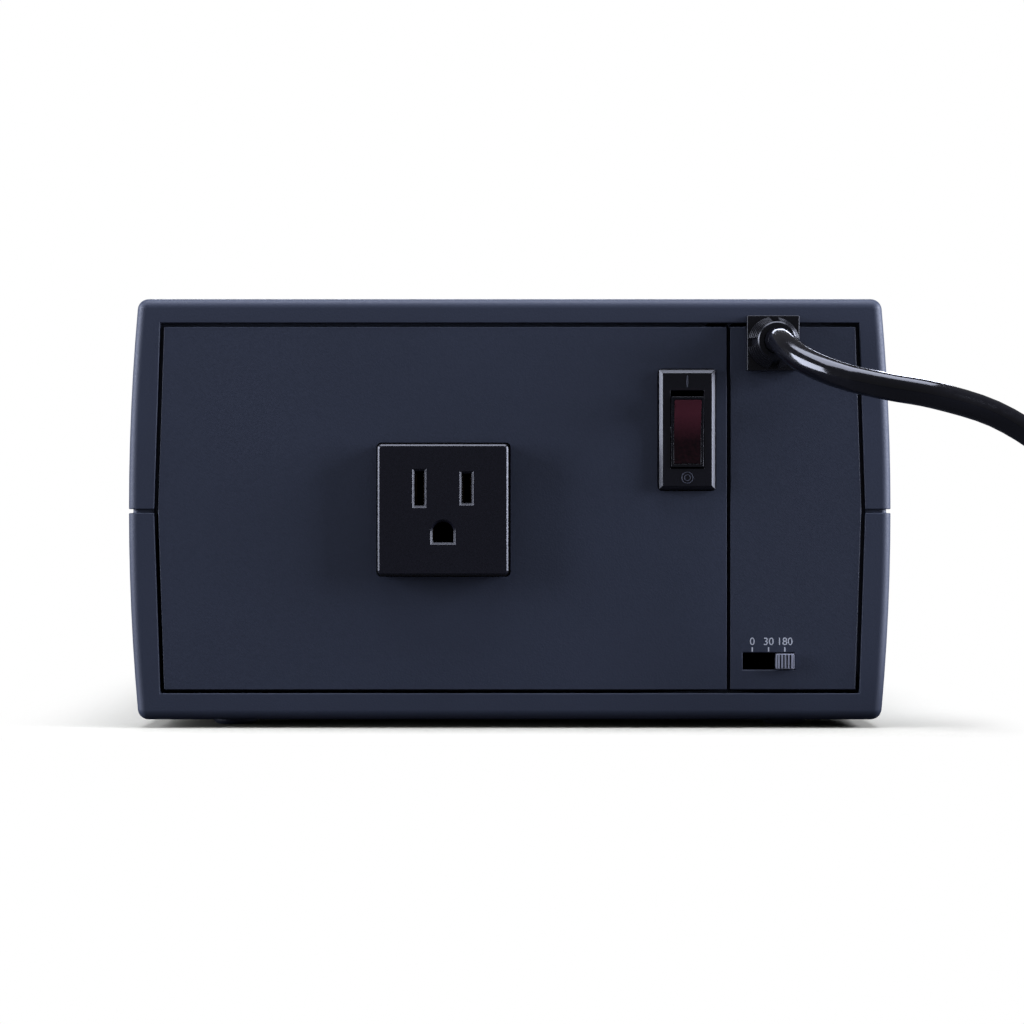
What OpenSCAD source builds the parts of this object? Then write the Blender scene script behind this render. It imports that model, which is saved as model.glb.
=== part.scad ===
// Desktop uninterruptible power supply with one grounded outlet, a rocker breaker, a delay switch
// and a mains lead on its back panel, and a push button and status lights on its front panel.
// X runs to the right seen from the back, Y from the back panel to the front panel, Z up.
// The floor under the feet is z = 0.

/* [Case] */
// Width of the case at its seam, where the bowed sides are widest
case_w = 206.6; // [196:0.2:260]
// How far each side bows out between its edges and its middle
side_bow = 2.65; // [1:0.05:5]
// Height of the case without its feet
case_h = 114; // [113:0.5:150]
// Length of the case from back to front
case_d = 330; // [322:1:420]
// Thickness of the cover walls
wall = 2.5; // [2.2:0.1:3]
// Radius of the long corners of the case
corner_r = 3; // [2:0.25:5]
// Radius of the edges round the back and the front
edge_r = 2.7; // [1.5:0.1:4]
// Height of the groove along the seam
seam_gap = 1.05; // [0.4:0.05:2]
// How far the seam lies below the middle of the case
seam_drop = 0.5; // [0:0.1:5]
// Thickness of the upper cover's lip outside the tongue
lip_t = 1.1; // [0.8:0.05:1.3]
// Height of the lower cover's tongue above the seam
tongue_h = 3; // [2:0.25:5]

/* [Rims and panels] */
// Width of the rim beside the panel at the seam
rim_side = 7.1; // [5:0.1:10]
// Width of the rim above the panel
rim_top = 6.6; // [5:0.1:8]
// Width of the rim below the panel
rim_bottom = 7.2; // [5:0.1:10]
// Thickness of the rim
rim_t = 3; // [2:0.1:4]
// How far each side of the rim's opening leans in from the seam to its ends
opening_lean = 1.65; // [0:0.05:3]
// Width of the groove round the panels
panel_gap = 1.05; // [0.5:0.05:2]
// Thickness of the flange behind the rim that holds a panel
flange_t = 2; // [1.5:0.1:3]
// How far the panel face lies behind the rim
face_recess = 0.3; // [0:0.1:1]
// Height of the ribs that hold the panels against the rim
rib_h = 4; // [3:0.5:6]
// Thickness of the ribs
rib_t = 2; // [1.5:0.1:3]
// Place of the groove between the two back panels, from the middle
split_x = 59.2; // [57:0.1:60]
// Width of the groove between the two back panels
split_gap = 1; // [0.5:0.1:2]

/* [Vents] */
// Number of slots in each row
vent_count = 12; // [4:1:13]
// Width of a slot
vent_w = 2.4; // [1.5:0.1:3]
// Distance from one slot to the next
vent_pitch = 7.5; // [6:0.1:8]
// Height of a slot
vent_h = 26; // [15:1:32]

/* [Feet and case screws] */
// Diameter of a rubber foot
foot_d = 12.2; // [10:0.1:16]
// Height of a rubber foot
foot_h = 2.2; // [2:0.1:8]
// Distance of the feet from the middle of the case
foot_x = 75.9; // [72:0.1:84]
// Distance of the feet from the back and the front
foot_inset = 20; // [17:0.5:22]
// Shank diameter of the case screws
screw_d = 4; // [3:0.5:4.5]
// Diameter of the screw posts
post_d = 11; // [10.5:0.5:13]
// Distance of the screw posts from the side of the case
post_side = 13.3; // [12:0.1:15]
// Distance of the screw posts from the back and the front
post_inset = 38; // [36:0.5:40]

/* [Outlet] */
// Width and height of the outlet's face
outlet_w = 35.6; // [34:0.1:40]
// Place of the outlet across the panel, from the middle
outlet_x = -17.9; // [-60:0.1:0]
// Place of the outlet up the panel, from the middle
outlet_z = -0.1; // [-20:0.1:20]
// How far the outlet stands out of the rim plane
outlet_proud = 6; // [3:0.1:10]
// Depth of the outlet behind the rim plane
outlet_depth = 24; // [20:0.5:30]
// Height of the blade slots above the outlet's middle
blade_z = 5.7; // [5:0.1:6]
// Depth of the ground hole's centre below the outlet's middle
ground_z = 6; // [5.5:0.1:6.5]
// Length of the neutral slot
neutral_l = 9.3; // [8:0.1:10]
// Length of the live slot
live_l = 8; // [7:0.1:8.5]
// Width of the blade slots
slot_w = 2.55; // [2:0.05:3]
// Width of the ground hole
ground_w = 5.6; // [5.4:0.1:6]

/* [Breaker] */
// Width of the breaker's bezel
breaker_w = 15.2; // [14:0.1:18]
// Height of the breaker's bezel
breaker_h = 32.4; // [30:0.1:38]
// Place of the breaker across the panel, from the middle
breaker_x = 47.9; // [40:0.1:49]
// Place of the breaker up the panel, from the middle
breaker_z = 21.5; // [0:0.1:28]
// How far the bezel stands out of the rim plane
breaker_proud = 2; // [1:0.1:4]
// Depth of the breaker behind the rim plane
breaker_depth = 30; // [24:0.5:36]
// Width of the rocker
rocker_w = 8.7; // [7:0.1:9.5]
// Length of the rocker
rocker_l = 19.2; // [16:0.1:20]
// Angle of the rocker from off to on
rocker_swing = 20; // [14:1:22]

/* [Delay switch] */
// Place of the switch across the panel, from the middle
slide_x = 70; // [68:0.1:76]
// Place of the switch up the panel, from the middle
slide_z = -41.1; // [-42:0.1:0]
// Travel of the knob from its first position to its last
slide_travel = 8.8; // [6:0.1:9]
// Width of the knob
knob_w = 4.8; // [4:0.1:6]
// Height of the knob
knob_h = 4.1; // [3.5:0.1:5]
// How far the knob stands out of the panel
knob_proud = 2; // [1:0.1:3]

/* [Front panel] */
// Diameter of the push button
button_d = 16; // [12:0.5:20]
// How far the button stands out of the rim plane
button_proud = 1; // [0.5:0.1:3]
// Travel of the button
button_travel = 1.2; // [0.8:0.1:1.6]
// Place of the button across the panel, from the middle
button_x = 60; // [30:0.5:66]
// Length of the status window
window_l = 44; // [30:1:50]
// Height of the status window
window_h = 6; // [5:0.5:8]

/* [Battery] */
// Width of the battery
battery_w = 65; // [65:1:80]
// Length of the battery
battery_l = 151; // [150:1:152]
// Height of the battery's case and lid
battery_h = 94; // [80:1:95]
// Thickness of the foam pad under the battery
pad_t = 2; // [1:0.5:3]

/* [Transformer] */
// Length of the laminated core
core_l = 86; // [72:1:100]
// Height of the laminated core
core_h = 72; // [60:1:76]
// Thickness of the lamination stack
core_t = 45; // [35:1:50]

/* [Circuit board] */
// Width of the main board
board_w = 162; // [150:1:166]
// Length of the main board
board_l = 96; // [90:1:98]
// Thickness of the boards
board_t = 1.6; // [1:0.1:2]
// Height of the main board above the floor of the case
board_lift = 8; // [6:0.5:12]

/* [Strain relief] */
// Width of the strain relief's flange
relief_w = 14; // [12:0.1:16]
// Height of the strain relief's flange
relief_h = 14.8; // [12:0.1:16]
// How far the strain relief's flange stands out of the rim plane
relief_proud = 4; // [3:0.1:6]

/* [Hidden] */
$fn = 48;

// Clearance between pieces that are fixed together
fit = 0.1;
// Clearance between pieces that move past each other
play = 0.3;
// Radial clearance of the rocker on its pin
pin_play = 0.03;
// How far a cut runs past the face that it opens
past = 1;

// Distance between an outlet's two blade slots, and between a plug's blades
blade_pitch = 12.7;
// Diameter of the mains lead, and radius of its coil at the middle of the turns
cord_d = 7;
coil_r = 42;
// Place of the strain relief, across from the middle and down from the top of the case
relief_x = 70.9;
relief_drop = 12.3;

// Heights and depths of the case
mid_z = foot_h + case_h / 2;
seam_z = mid_z - seam_drop;
floor_z = foot_h + wall;
roof_z = foot_h + case_h - wall;
rear_y = -case_d / 2 + (outlet_proud - button_proud) / 2;
flange_y = rim_t + fit;
behind_panel = flange_y + flange_t + fit;

// Middle of each fitting on the back panel
outlet_mid = mid_z + outlet_z;
breaker_mid = mid_z + breaker_z;
slide_mid = mid_z + slide_z;
relief_mid = foot_h + case_h - relief_drop;

// Outlet body behind the panel, and its chambers for the contacts
socket_w = outlet_w - 3.6;
outlet_face_t = 3;
contact_back = 6;
chamber_w = 5.2;

// Breaker housing, its window and the rocker's pivot
housing_w = breaker_w - 2.8;
housing_h = breaker_h - 3.4;
window_side = 0.2;
rocker_room = 1.9;
breaker_window_w = rocker_w + 2 * window_side;
breaker_window_h = rocker_l + rocker_room;
pivot_back = 2;
rocker_pin_r = 1;
rocker_well = 16;
lens_t = 1.1;

// Delay switch opening in the panel
slide_open_w = slide_travel + knob_w + 0.4;
slide_open_h = knob_h + 0.55;

// Screw posts, bosses and pilot holes
pilot_r = screw_d / 2;
screw_hole_r = screw_d / 2 + 0.2;
head_r = screw_d;
head_room = 14;
small_r = 1.25;
small_head_r = 2.8;
boss_r = 3.5;
boss_h = 5;
post_x = case_w / 2 - post_side;

// Battery, pad and strap; the battery stands clear of the wall by what the strap's foot needs
battery_side = 14.15;
battery_x = battery_w / 2 + battery_side - (case_w / 2 - side_bow - wall);
battery_y = post_inset + 114;
battery_low = floor_z + pad_t;
lid_h = 8;
strap_w = 16;
strap_t = 1.2;
strap_foot = 11;
strap_y = battery_y + battery_l / 2;
fence_h = 10;
fence_t = 2;
fence_room = 0.5;
fence_l = 40;
fence_y = 42;

// Transformer, seated on the floor
core_x = 48;
core_y = battery_y + battery_l / 2 + 20;
core_low = floor_z + boss_h;
core_leg = core_l / 6;
bracket_t = 1.5;
bracket_foot = 12;

// Main board and its posts
board_y = post_inset + post_d / 2 + 1.5;
board_low = floor_z + board_lift;
board_top = board_low + board_t;
board_edge = 5;
heatsink_l = 58;
heatsink_h = 34;
heatsink_at = [[-48, 70], [26, 70]];

// Radius of the insulated leads inside the case
lead_r = 1.6;
thin_lead_r = 1.3;

// Display board behind the front panel
front_y = case_d;
display_w = 120;
display_h = 26;
display_y = front_y - behind_panel - 14;
display_x = 24;
button_z = mid_z + 18;
window_x = 0;
collar_t = 1.5;
tact_h = 3.6;
plunger_r = 1.7;
plunger_in = 1.4;
plunger_out = 2 * button_travel;

// Mains lead: points of the free stretch, from the strain relief's tip to the coil
relief_tip = 15;
lead_route = [
    [71, -177.5, 104], [71.7, -183.5, 103.1], [73, -189.9, 100.9], [76, -196.3, 97.8],
    [81.1, -202.4, 94.8], [86.4, -206.1, 92.7], [89.8, -207.8, 91.7], [97.1, -209.8, 90],
    [108, -209.8, 88], [123.6, -205.8, 83.5], [136.9, -205.2, 75.5], [144.6, -207, 67.4],
    [152, -207.5, 55.5], [157.5, -207.5, 42], [163, -207.5, 28.5], [171, -207.5, 16.5],
    [181.5, -207.5, 8.5], [193, -207.5, 4.8], [203, -207.5, 4.3]
];
// Points of the stretch from the coil's top turn to the plug
tail_route = [
    [241.5, -162, 25.3], [241.5, -150, 26], [241.5, -138, 26], [241.5, -126, 24.5],
    [241.5, -114, 20.8], [241.5, -103, 16.6], [241.5, -93, 13.4], [241.5, -84, 12]
];
tie_t = 0.8;
coil_at = [203, -162, tie_t];
coil_half_w = cord_d;
coil_t = 3 * cord_d;
plug_at = [241.5, -84, 12];
boot_l = 22;
plug_l = 34;
plug_w = 25;
plug_h = 23;

// A block between two opposite corners
module block(low, high) translate(low) cube(high - low);

// A round bar along Y, from a point forwards
module bar_y(r, at, length) translate(at) rotate([-90, 0, 0]) cylinder(r = r, h = length);

// A round bar along X, centred on a point
module bar_x(r, at, length) translate(at) rotate([0, 90, 0]) cylinder(r = r, h = length, center = true);

// Everything of the case is laid out from the back rim's plane
module in_case() translate([0, rear_y, 0]) children();

// The same piece at four corners: a distance from the middle, and from the back and the front
module four_corners(x, inset) {
    for (side = [-1, 1], y = [inset, case_d - inset]) translate([side * x, y, 0]) children();
}

// A closed skin through rings of points, each with as many points as the next
module loft(rings) {
    count = len(rings[0]);
    last = len(rings) - 1;
    polyhedron(
        points = [for (ring = rings) each ring],
        faces = concat(
            [[for (i = [count - 1:-1:0]) i], [for (i = [0:count - 1]) last * count + i]],
            [for (k = [0:last - 1], i = [0:count - 1])
                let (a = k * count + i, b = k * count + (i + 1) % count)
                each [[a, b, b + count], [a, b + count, a + count]]]
        )
    );
}

function unit(v) = v / norm(v);
function along(p, i) = unit(p[min(i + 1, len(p) - 1)] - p[max(i - 1, 0)]);
function squared(n, t) = unit(n - (n * t) * t);

// A smooth line through the points, with a number of steps between each two
function smooth(p, steps) = [
    for (i = [0:len(p) - 2], s = [0:steps - 1])
        let (a = p[max(i - 1, 0)], b = p[i], c = p[i + 1], d = p[min(i + 2, len(p) - 1)], t = s / steps)
        b + t * (c - a) / 2 + t ^ 2 * (a - 2.5 * b + 2 * c - d / 2) + t ^ 3 * (1.5 * (b - c) + (d - a) / 2),
    p[len(p) - 1]
];

// A round tube along a line of points
module tube(line, r, sides = 8) {
    normals = [for (i = 0, n = squared([0.1, 0.2, 1], along(line, 0)); i < len(line);
        i = i + 1, n = squared(n, along(line, min(i, len(line) - 1)))) n];
    loft([for (i = [0:len(line) - 1])
        let (t = along(line, i), n = normals[i], b = cross(n, t))
        [for (k = [0:sides - 1]) line[i] + r * (cos(360 * k / sides) * n + sin(360 * k / sides) * b)]]);
}

// Right half of the case's section: a bowed side between two round corners
function right_side(inset, corner_steps = 6, bow_steps = 12) =
    let (
        bow_r = (side_bow ^ 2 + (case_h / 2) ^ 2) / (2 * side_bow) - inset,
        bow_x = case_w / 2 - inset - bow_r,
        r = max(corner_r - inset, 0.4),
        z = case_h / 2 - inset - r,
        lean = asin(z / (bow_r - r)),
        x = bow_x + (bow_r - r) * cos(lean)
    )
    concat(
        [for (i = [0:corner_steps]) let (a = -90 + i * (90 - lean) / corner_steps)
            [x + r * cos(a), -z + r * sin(a)]],
        [for (i = [1:bow_steps - 1]) let (a = -lean + i * 2 * lean / bow_steps)
            [bow_x + bow_r * cos(a), bow_r * sin(a)]],
        [for (i = [0:corner_steps]) let (a = lean + i * (90 - lean) / corner_steps)
            [x + r * cos(a), z + r * sin(a)]]
    );

// The whole section, and the opening in the rims, which is widest at the seam
function case_outline(inset) =
    let (side = right_side(inset))
    concat(side, [for (i = [len(side) - 1:-1:0]) [-side[i][0], side[i][1]]]);
function opening_outline(shrink) =
    let (
        wide = case_w / 2 - rim_side - shrink,
        narrow = wide - opening_lean,
        top = case_h / 2 - rim_top - shrink,
        bottom = -(case_h / 2 - rim_bottom - shrink)
    )
    [[narrow, bottom], [wide, -seam_drop], [narrow, top],
        [-narrow, top], [-wide, -seam_drop], [-narrow, bottom]];

// An outline of the case's section, run from one depth to another
module run_y(outline, from, to) {
    translate([0, to, mid_z]) rotate([90, 0, 0]) linear_extrude(to - from) polygon(outline);
}

// The solid case, or the same a little smaller all round, with its edges rounded back and front
module case_block(inset) {
    edge = max(edge_r - inset, 0.4);
    steps = 6;
    back = [for (i = [0:steps]) let (a = 90 * i / steps)
        [inset + edge * (1 - cos(a)), inset + edge * (1 - sin(a))]];
    front = [for (i = [steps:-1:0]) [case_d - back[i][0], back[i][1]]];
    loft([for (ring = concat(back, front)) [for (p = case_outline(ring[1])) [p[0], ring[0], mid_z + p[1]]]]);
}

// A flat slab of the whole case between two heights
module level(low, high) block([-case_w, -past, low], [case_w, case_d + past, high]);

// Walls and rims of the case, before they are split at the seam
module case_shell() {
    difference() {
        case_block(0);
        run_y(case_outline(wall), rim_t, case_d - rim_t);
        run_y(opening_outline(0), -past, case_d + past);
    }
}

// Ribs round the inside that hold both panels against their rims
module panel_ribs() {
    for (y = [behind_panel, case_d - behind_panel - rib_t]) difference() {
        run_y(case_outline(wall - fit), y, y + rib_t);
        run_y(case_outline(wall + rib_h), y - past, y + rib_t + past);
    }
}

// A row of upright slots through both sides
module vent_row(low) {
    for (i = [0:vent_count - 1]) let (y = post_inset + 20 + i * vent_pitch)
        block([-case_w, y, low], [case_w, y + vent_w, low + vent_h]);
}

// Lower cover: floor, half the walls and rims, the seam's tongue, and posts for what stands in it
module lower_cover() color("#2b303e") in_case() {
    difference() {
        union() {
            intersection() { case_shell(); level(-past, seam_z - seam_gap / 2); }
            difference() {
                intersection() {
                    case_block(lip_t + fit);
                    level(seam_z - seam_gap / 2 - wall, seam_z + tongue_h);
                }
                run_y(case_outline(wall), rim_t, case_d - rim_t);
                run_y(opening_outline(0), -past, case_d + past);
            }
            intersection() { panel_ribs(); level(floor_z - fit, seam_z - fit); }
            four_corners(post_x, post_inset)
                translate([0, 0, foot_h + wall / 2])
                    cylinder(d = post_d, h = seam_z - fit - foot_h - wall / 2);
            four_corners(foot_x, foot_inset)
                translate([0, 0, floor_z - fit]) cylinder(r = boss_r, h = boss_h);
            bosses(board_holes(), board_lift);
            bosses(concat(strap_holes(), bracket_holes()), boss_h);
            battery_fence();
            transformer_seat();
        }
        four_corners(post_x, post_inset) {
            translate([0, 0, -past]) cylinder(r = screw_hole_r, h = case_h);
            translate([0, 0, -past]) cylinder(r = head_r + 0.2, h = foot_h + head_room + past);
        }
        four_corners(foot_x, foot_inset)
            translate([0, 0, -past]) cylinder(r = small_r, h = foot_h + wall + boss_h);
        for (at = concat(board_holes(), strap_holes(), bracket_holes()))
            translate([at[0], at[1], floor_z - 1]) cylinder(r = small_r, h = case_h / 4);
        vent_row(floor_z + 17);
    }
}

// Round bosses on the floor, at these places
module bosses(places, height) {
    for (at = places) translate([at[0], at[1], floor_z - fit]) cylinder(r = boss_r, h = height + fit);
}

// Low walls on the floor that keep the battery in place
module battery_fence() {
    off = fence_room + fence_t / 2;
    translate([battery_x, strap_y, floor_z - fit + fence_h / 2]) for (end = [-1, 1]) {
        translate([0, end * (battery_l / 2 + off), 0]) cube([battery_w - 20, fence_t, fence_h], center = true);
        for (y = [-fence_y, fence_y]) translate([end * (battery_w / 2 + off), y, 0])
            cube([fence_t, fence_l, fence_h], center = true);
    }
}

// Raised rails on the floor under the ends of the transformer core
module transformer_seat() {
    for (end = [-1, 1])
        translate([core_x, core_y + end * (core_l / 2 - 6), floor_z - fit + (boss_h + fit) / 2])
            cube([core_t - 10, 4, boss_h + fit], center = true);
}

// Upper cover: roof, half the walls and rims, the lip outside the tongue, and the upper screw posts
module upper_cover() color("#2b303e") in_case() {
    difference() {
        union() {
            difference() {
                intersection() { case_shell(); level(seam_z + seam_gap / 2, foot_h + case_h + past); }
                intersection() { case_block(lip_t); level(seam_z - past, seam_z + tongue_h + fit); }
            }
            intersection() { panel_ribs(); level(seam_z + tongue_h + fit, roof_z + fit); }
            four_corners(post_x, post_inset)
                translate([0, 0, seam_z + fit]) cylinder(d = post_d, h = roof_z - seam_z);
        }
        four_corners(post_x, post_inset) translate([0, 0, seam_z - past]) cylinder(r = pilot_r, h = 32);
        vent_row(seam_z + 12);
        relief_room();
    }
}

// Room for the strain relief in the rim and in the rib behind the panel
module relief_room() {
    translate([relief_x, 0, relief_mid]) {
        block([-neck_w() / 2 - fit, -past, -relief_h / 2],
            [neck_w() / 2 + fit, behind_panel, neck_h() / 2 + fit]);
        block([-relief_w / 2 - play, behind_panel - fit, -relief_h / 2 - play],
            [relief_w / 2 + play, behind_panel + rib_t + past, relief_h / 2 + play]);
    }
}
function neck_w() = relief_w - 2.8;
function neck_h() = relief_h - 2.8;

// A panel's raised face in the rim's opening, and the flange behind the rim
module panel_blank() {
    run_y(opening_outline(panel_gap), face_recess, flange_y + fit);
    run_y(case_outline(wall + play), flange_y, flange_y + flange_t);
}

// Back panel with the outlet and the breaker
module outlet_panel() color("#2c3140") in_case() {
    difference() {
        panel_blank();
        block([split_x - split_gap / 2, -past, 0], [case_w, flange_y, case_h + 2 * foot_h]);
        block([split_x - fit / 2, 0, 0], [case_w, rim_t + flange_t + past, case_h + 2 * foot_h]);
        translate([outlet_x, 0, outlet_mid])
            cube([socket_w + 2 * fit, 20, socket_w + 2 * fit], center = true);
        translate([breaker_x, 0, breaker_mid])
            cube([housing_w + 2 * fit, 20, housing_h + 2 * fit], center = true);
    }
}

// Back panel with the delay switch and the mains lead
module service_panel() color("#292e3c") in_case() {
    difference() {
        panel_blank();
        block([-case_w, -past, 0], [split_x + split_gap / 2, flange_y, case_h + 2 * foot_h]);
        block([-case_w, 0, 0], [split_x + fit / 2, rim_t + flange_t + past, case_h + 2 * foot_h]);
        translate([slide_x, 0, slide_mid]) cube([slide_open_w, 20, slide_open_h], center = true);
        translate([relief_x, 0, relief_mid])
            block([-neck_w() / 2 - fit, -past, -neck_h() / 2 - fit],
                [neck_w() / 2 + fit, 10, relief_h * 2]);
    }
}

// Front panel with the push button and the status window, on posts for the display board
module front_panel() color("#2b303e") in_case() {
    difference() {
        union() {
            translate([0, front_y, 0]) mirror([0, 1, 0]) panel_blank();
            for (at = display_holes()) translate(at)
                bar_y(boss_r, [0, board_t, 0], front_y - flange_y - display_y - board_t);
        }
        bar_y(button_d / 2 + play, [button_x, front_y - 10, button_z], 20);
        translate([window_x, front_y, button_z])
            cube([window_l + 2 * fit, 20, window_h + 2 * fit], center = true);
        for (at = display_holes()) translate(at) bar_y(small_r, [0, board_t - past, 0], 10);
    }
}
function display_holes() = [
    for (side = [-1, 1])
        [display_x + side * (display_w / 2 - 5), display_y, button_z - side * (display_h / 2 - 5)]
];

// Four rubber feet, each with a bulging rim and a pocket for its screw
module rubber_feet() color("#23252c") in_case() {
    r = foot_d / 2;
    four_corners(foot_x, foot_inset) rotate_extrude() polygon(concat(
        [[small_r + fit, 1.4], [small_head_r + 0.3, 1.4], [small_head_r + 0.3, 0]],
        [for (i = [0:6]) let (a = -90 + i * 30) [r - 1.1 + 1.1 * cos(a), foot_h / 2 + foot_h / 2 * sin(a)]],
        [[small_r + fit, foot_h]]
    ));
}

// A pan-head screw standing on its head, its shank upwards
module screw(shank_r, length, big_r, head_h) {
    difference() {
        union() {
            cylinder(r = shank_r, h = length);
            translate([0, 0, -head_h]) cylinder(r1 = big_r * 0.8, r2 = big_r, h = head_h);
        }
        for (turn = [0, 90]) rotate(turn) translate([0, 0, -head_h])
            cube([big_r * 1.1, big_r * 0.25, head_h], center = true);
    }
}

// Screws that hold the feet
module foot_screws() color("silver") in_case() {
    four_corners(foot_x, foot_inset) translate([0, 0, 1.4]) screw(small_r, 7, small_head_r, 1.2);
}

// Long screws from the floor into the upper cover's posts
module case_screws() color("silver") in_case() {
    four_corners(post_x, post_inset) translate([0, 0, foot_h + head_room])
        screw(pilot_r, seam_z - foot_h - head_room + 26, head_r, 3);
}

// Grounded outlet: square face, body through the panel, blade slots and a ground hole
module outlet_body() color("#1b1c23") in_case() {
    back = outlet_depth;
    translate([outlet_x, 0, outlet_mid]) difference() {
        union() {
            block([-outlet_w / 2, -outlet_proud, -outlet_w / 2],
                [outlet_w / 2, face_recess, outlet_w / 2]);
            block([-socket_w / 2, 0, -socket_w / 2], [socket_w / 2, back, socket_w / 2]);
        }
        for (slot = blade_slots()) {
            translate([slot[0], 0, blade_z]) cube([slot_w, 2 * outlet_proud + past, slot[1]], center = true);
            block([slot[0] - chamber_w / 2, outlet_face_t - outlet_proud, blade_z - slot[1] / 2 - 0.6],
                [slot[0] + chamber_w / 2, back + past, blade_z + slot[1] / 2 + 0.6]);
        }
        ground_hole(-outlet_proud - past, outlet_face_t - outlet_proud + past, ground_w / 2);
        ground_hole(outlet_face_t - outlet_proud, back + past, ground_w / 2 + 1);
    }
}
function blade_slots() = [[-blade_pitch / 2, neutral_l], [blade_pitch / 2, live_l]];

// A hole with a round top and a flat bottom for the ground pin
module ground_hole(from, to, r) {
    bar_y(r, [0, from, -ground_z], to - from);
    block([-r, from, -ground_z - r], [r, to, -ground_z]);
}

// Brass contacts in the outlet: two leaves each side of a blade or pin, joined at a tab
module outlet_contacts() color("#c8a55a") in_case() {
    from = contact_back - outlet_proud;
    leaf_t = 0.5;
    translate([outlet_x, 0, outlet_mid]) {
        for (slot = blade_slots()) contact(slot[0], blade_z, slot[1] - 1, 0.8, from, leaf_t);
        contact(0, -ground_z, 4, 2.6, from, leaf_t);
    }
}
module contact(x, z, h, half_gap, from, leaf_t) {
    base = outlet_depth - 4;
    translate([x, 0, z]) {
        for (side = [-1, 1]) translate([side * (half_gap + leaf_t / 2), (from + base) / 2, 0])
            cube([leaf_t, base - from, h], center = true);
        block([-half_gap - leaf_t, base - leaf_t, -h / 2], [half_gap + leaf_t, base + leaf_t, h / 2]);
        block([-0.4, base, -2.4], [0.4, outlet_depth + 6, 2.4]);
    }
}

// Breaker housing: chamfered bezel, body through the panel, and the window that the rocker sits in
module breaker_body() color("#20222b") in_case() {
    inner_h = breaker_window_h;
    translate([breaker_x, 0, breaker_mid]) difference() {
        union() {
            bezel(breaker_w, breaker_h, face_recess, breaker_proud, 1);
            block([-housing_w / 2, 0, -housing_h / 2], [housing_w / 2, breaker_depth, housing_h / 2]);
        }
        block([-breaker_window_w / 2, -breaker_proud - past, -inner_h / 2],
            [breaker_window_w / 2, rocker_well, inner_h / 2]);
        block([-breaker_window_w / 2, rocker_well + 1.5, -inner_h / 2],
            [breaker_window_w / 2, breaker_depth - 2, inner_h / 2]);
        bar_x(rocker_pin_r, [0, pivot_y(), 0], housing_w + past);
    }
}
function pivot_y() = pivot_back - breaker_proud;

// A flat frame blank with a chamfered front edge
module bezel(w, h, back, proud, chamfer) {
    rings = [[w / 2, h / 2, back], [w / 2, h / 2, chamfer - proud],
        [w / 2 - chamfer, h / 2 - chamfer, -proud]];
    loft([for (i = [2:-1:0]) let (s = rings[i])
        [[s[0], s[2], -s[1]], [s[0], s[2], s[1]], [-s[0], s[2], s[1]], [-s[0], s[2], -s[1]]]]);
}

// Places the rocker's pieces: modelled level, and turned to the off position about the pivot
module on_rocker() {
    translate([breaker_x, pivot_y(), breaker_mid]) rotate([rocker_swing / 2, 0, 0]) children();
}

// Side view of the rocker: two shallow wings in front of a hub, as points of Y and Z about the pivot
function wing() = rocker_l / 2 * tan(rocker_swing / 2) + pivot_back + 0.5;
module rocker_side(w, points) {
    rotate([90, 0, 90]) linear_extrude(w, center = true) polygon(points);
}

// Rocker with a pocket in its face for the lens
module breaker_rocker() color("#15161b") in_case() on_rocker() {
    end = rocker_l / 2;
    mid = pivot_back + 0.5;
    back = 2.2;
    difference() {
        union() {
            rocker_side(rocker_w,
                [[-wing(), end], [-mid, 0], [-wing(), -end], [back, 1 - end], [back, end - 1]]);
            block([-1.5, back - fit, -2], [1.5, 9, 2]);
        }
        lens_shape(0, past);
        bar_x(rocker_pin_r + pin_play, [0, 0, 0], rocker_w + past);
    }
}

// Red lens set into the rocker's face, and its pocket, which runs out past the face by `out`
module rocker_lens() color("#5c1420") in_case() on_rocker() lens_shape(fit / 2, 0);
module lens_shape(gap, out) {
    end = rocker_l / 2 - 0.9 - gap;
    lift = end * tan(rocker_swing / 2);
    mid = pivot_back + 0.5;
    back = lens_t - gap;
    rocker_side(rocker_w - 1.4 - 2 * gap,
        [[-mid - lift - out, end], [-mid - out, 0], [-mid - lift - out, -end],
        [back - mid - lift, -end], [back - mid, 0], [back - mid - lift, end]]);
}

// Steel pin that the rocker turns on
module rocker_pin() color("silver") in_case() {
    bar_x(rocker_pin_r, [breaker_x, pivot_y(), breaker_mid], housing_w - 0.4);
}

// Push-on terminals at the back of the breaker
module breaker_terminals() color("#c8a55a") in_case() {
    for (z = [-9, 0, 9]) translate([breaker_x, breaker_depth, breaker_mid + z])
        block([-0.4, 0, -3.15], [0.4, 8, 3.15]);
}

// Delay switch behind its opening, with a slot that the knob's lever runs in
module slide_switch_body() color("#8d9096") in_case() translate([slide_x, behind_panel, slide_mid]) {
    w = slide_open_w + 8;
    difference() {
        block([-w / 2, 0, -4], [w / 2, 8, 4]);
        block([-slide_travel / 2 - 2.1, -past, -1.6], [slide_travel / 2 + 2.1, 5, 1.6]);
    }
}

// Knob of the delay switch, at its last position, with a thin lever into the switch
module slide_knob() color("#5b5f6b") in_case() translate([slide_x + slide_travel / 2, 0, slide_mid]) {
    front = face_recess - knob_proud;
    difference() {
        block([-knob_w / 2, front, -knob_h / 2], [knob_w / 2, behind_panel - play, knob_h / 2]);
        for (i = [-2:2]) translate([i * knob_w / 5.5, front, 0])
            cube([0.4, 0.8, knob_h + past], center = true);
    }
    block([-1.5, behind_panel - play - fit, -1.2], [1.5, behind_panel + 4.5, 1.2]);
}

// Solder pins of the delay switch
module slide_switch_pins() color("#c8a55a") in_case() {
    for (i = [-1.5:1:1.5], z = [-2, 2]) translate([slide_x + i * 4.4, behind_panel + 8, slide_mid + z])
        block([-0.3, 0, -0.6], [0.3, 4, 0.6]);
}

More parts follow.
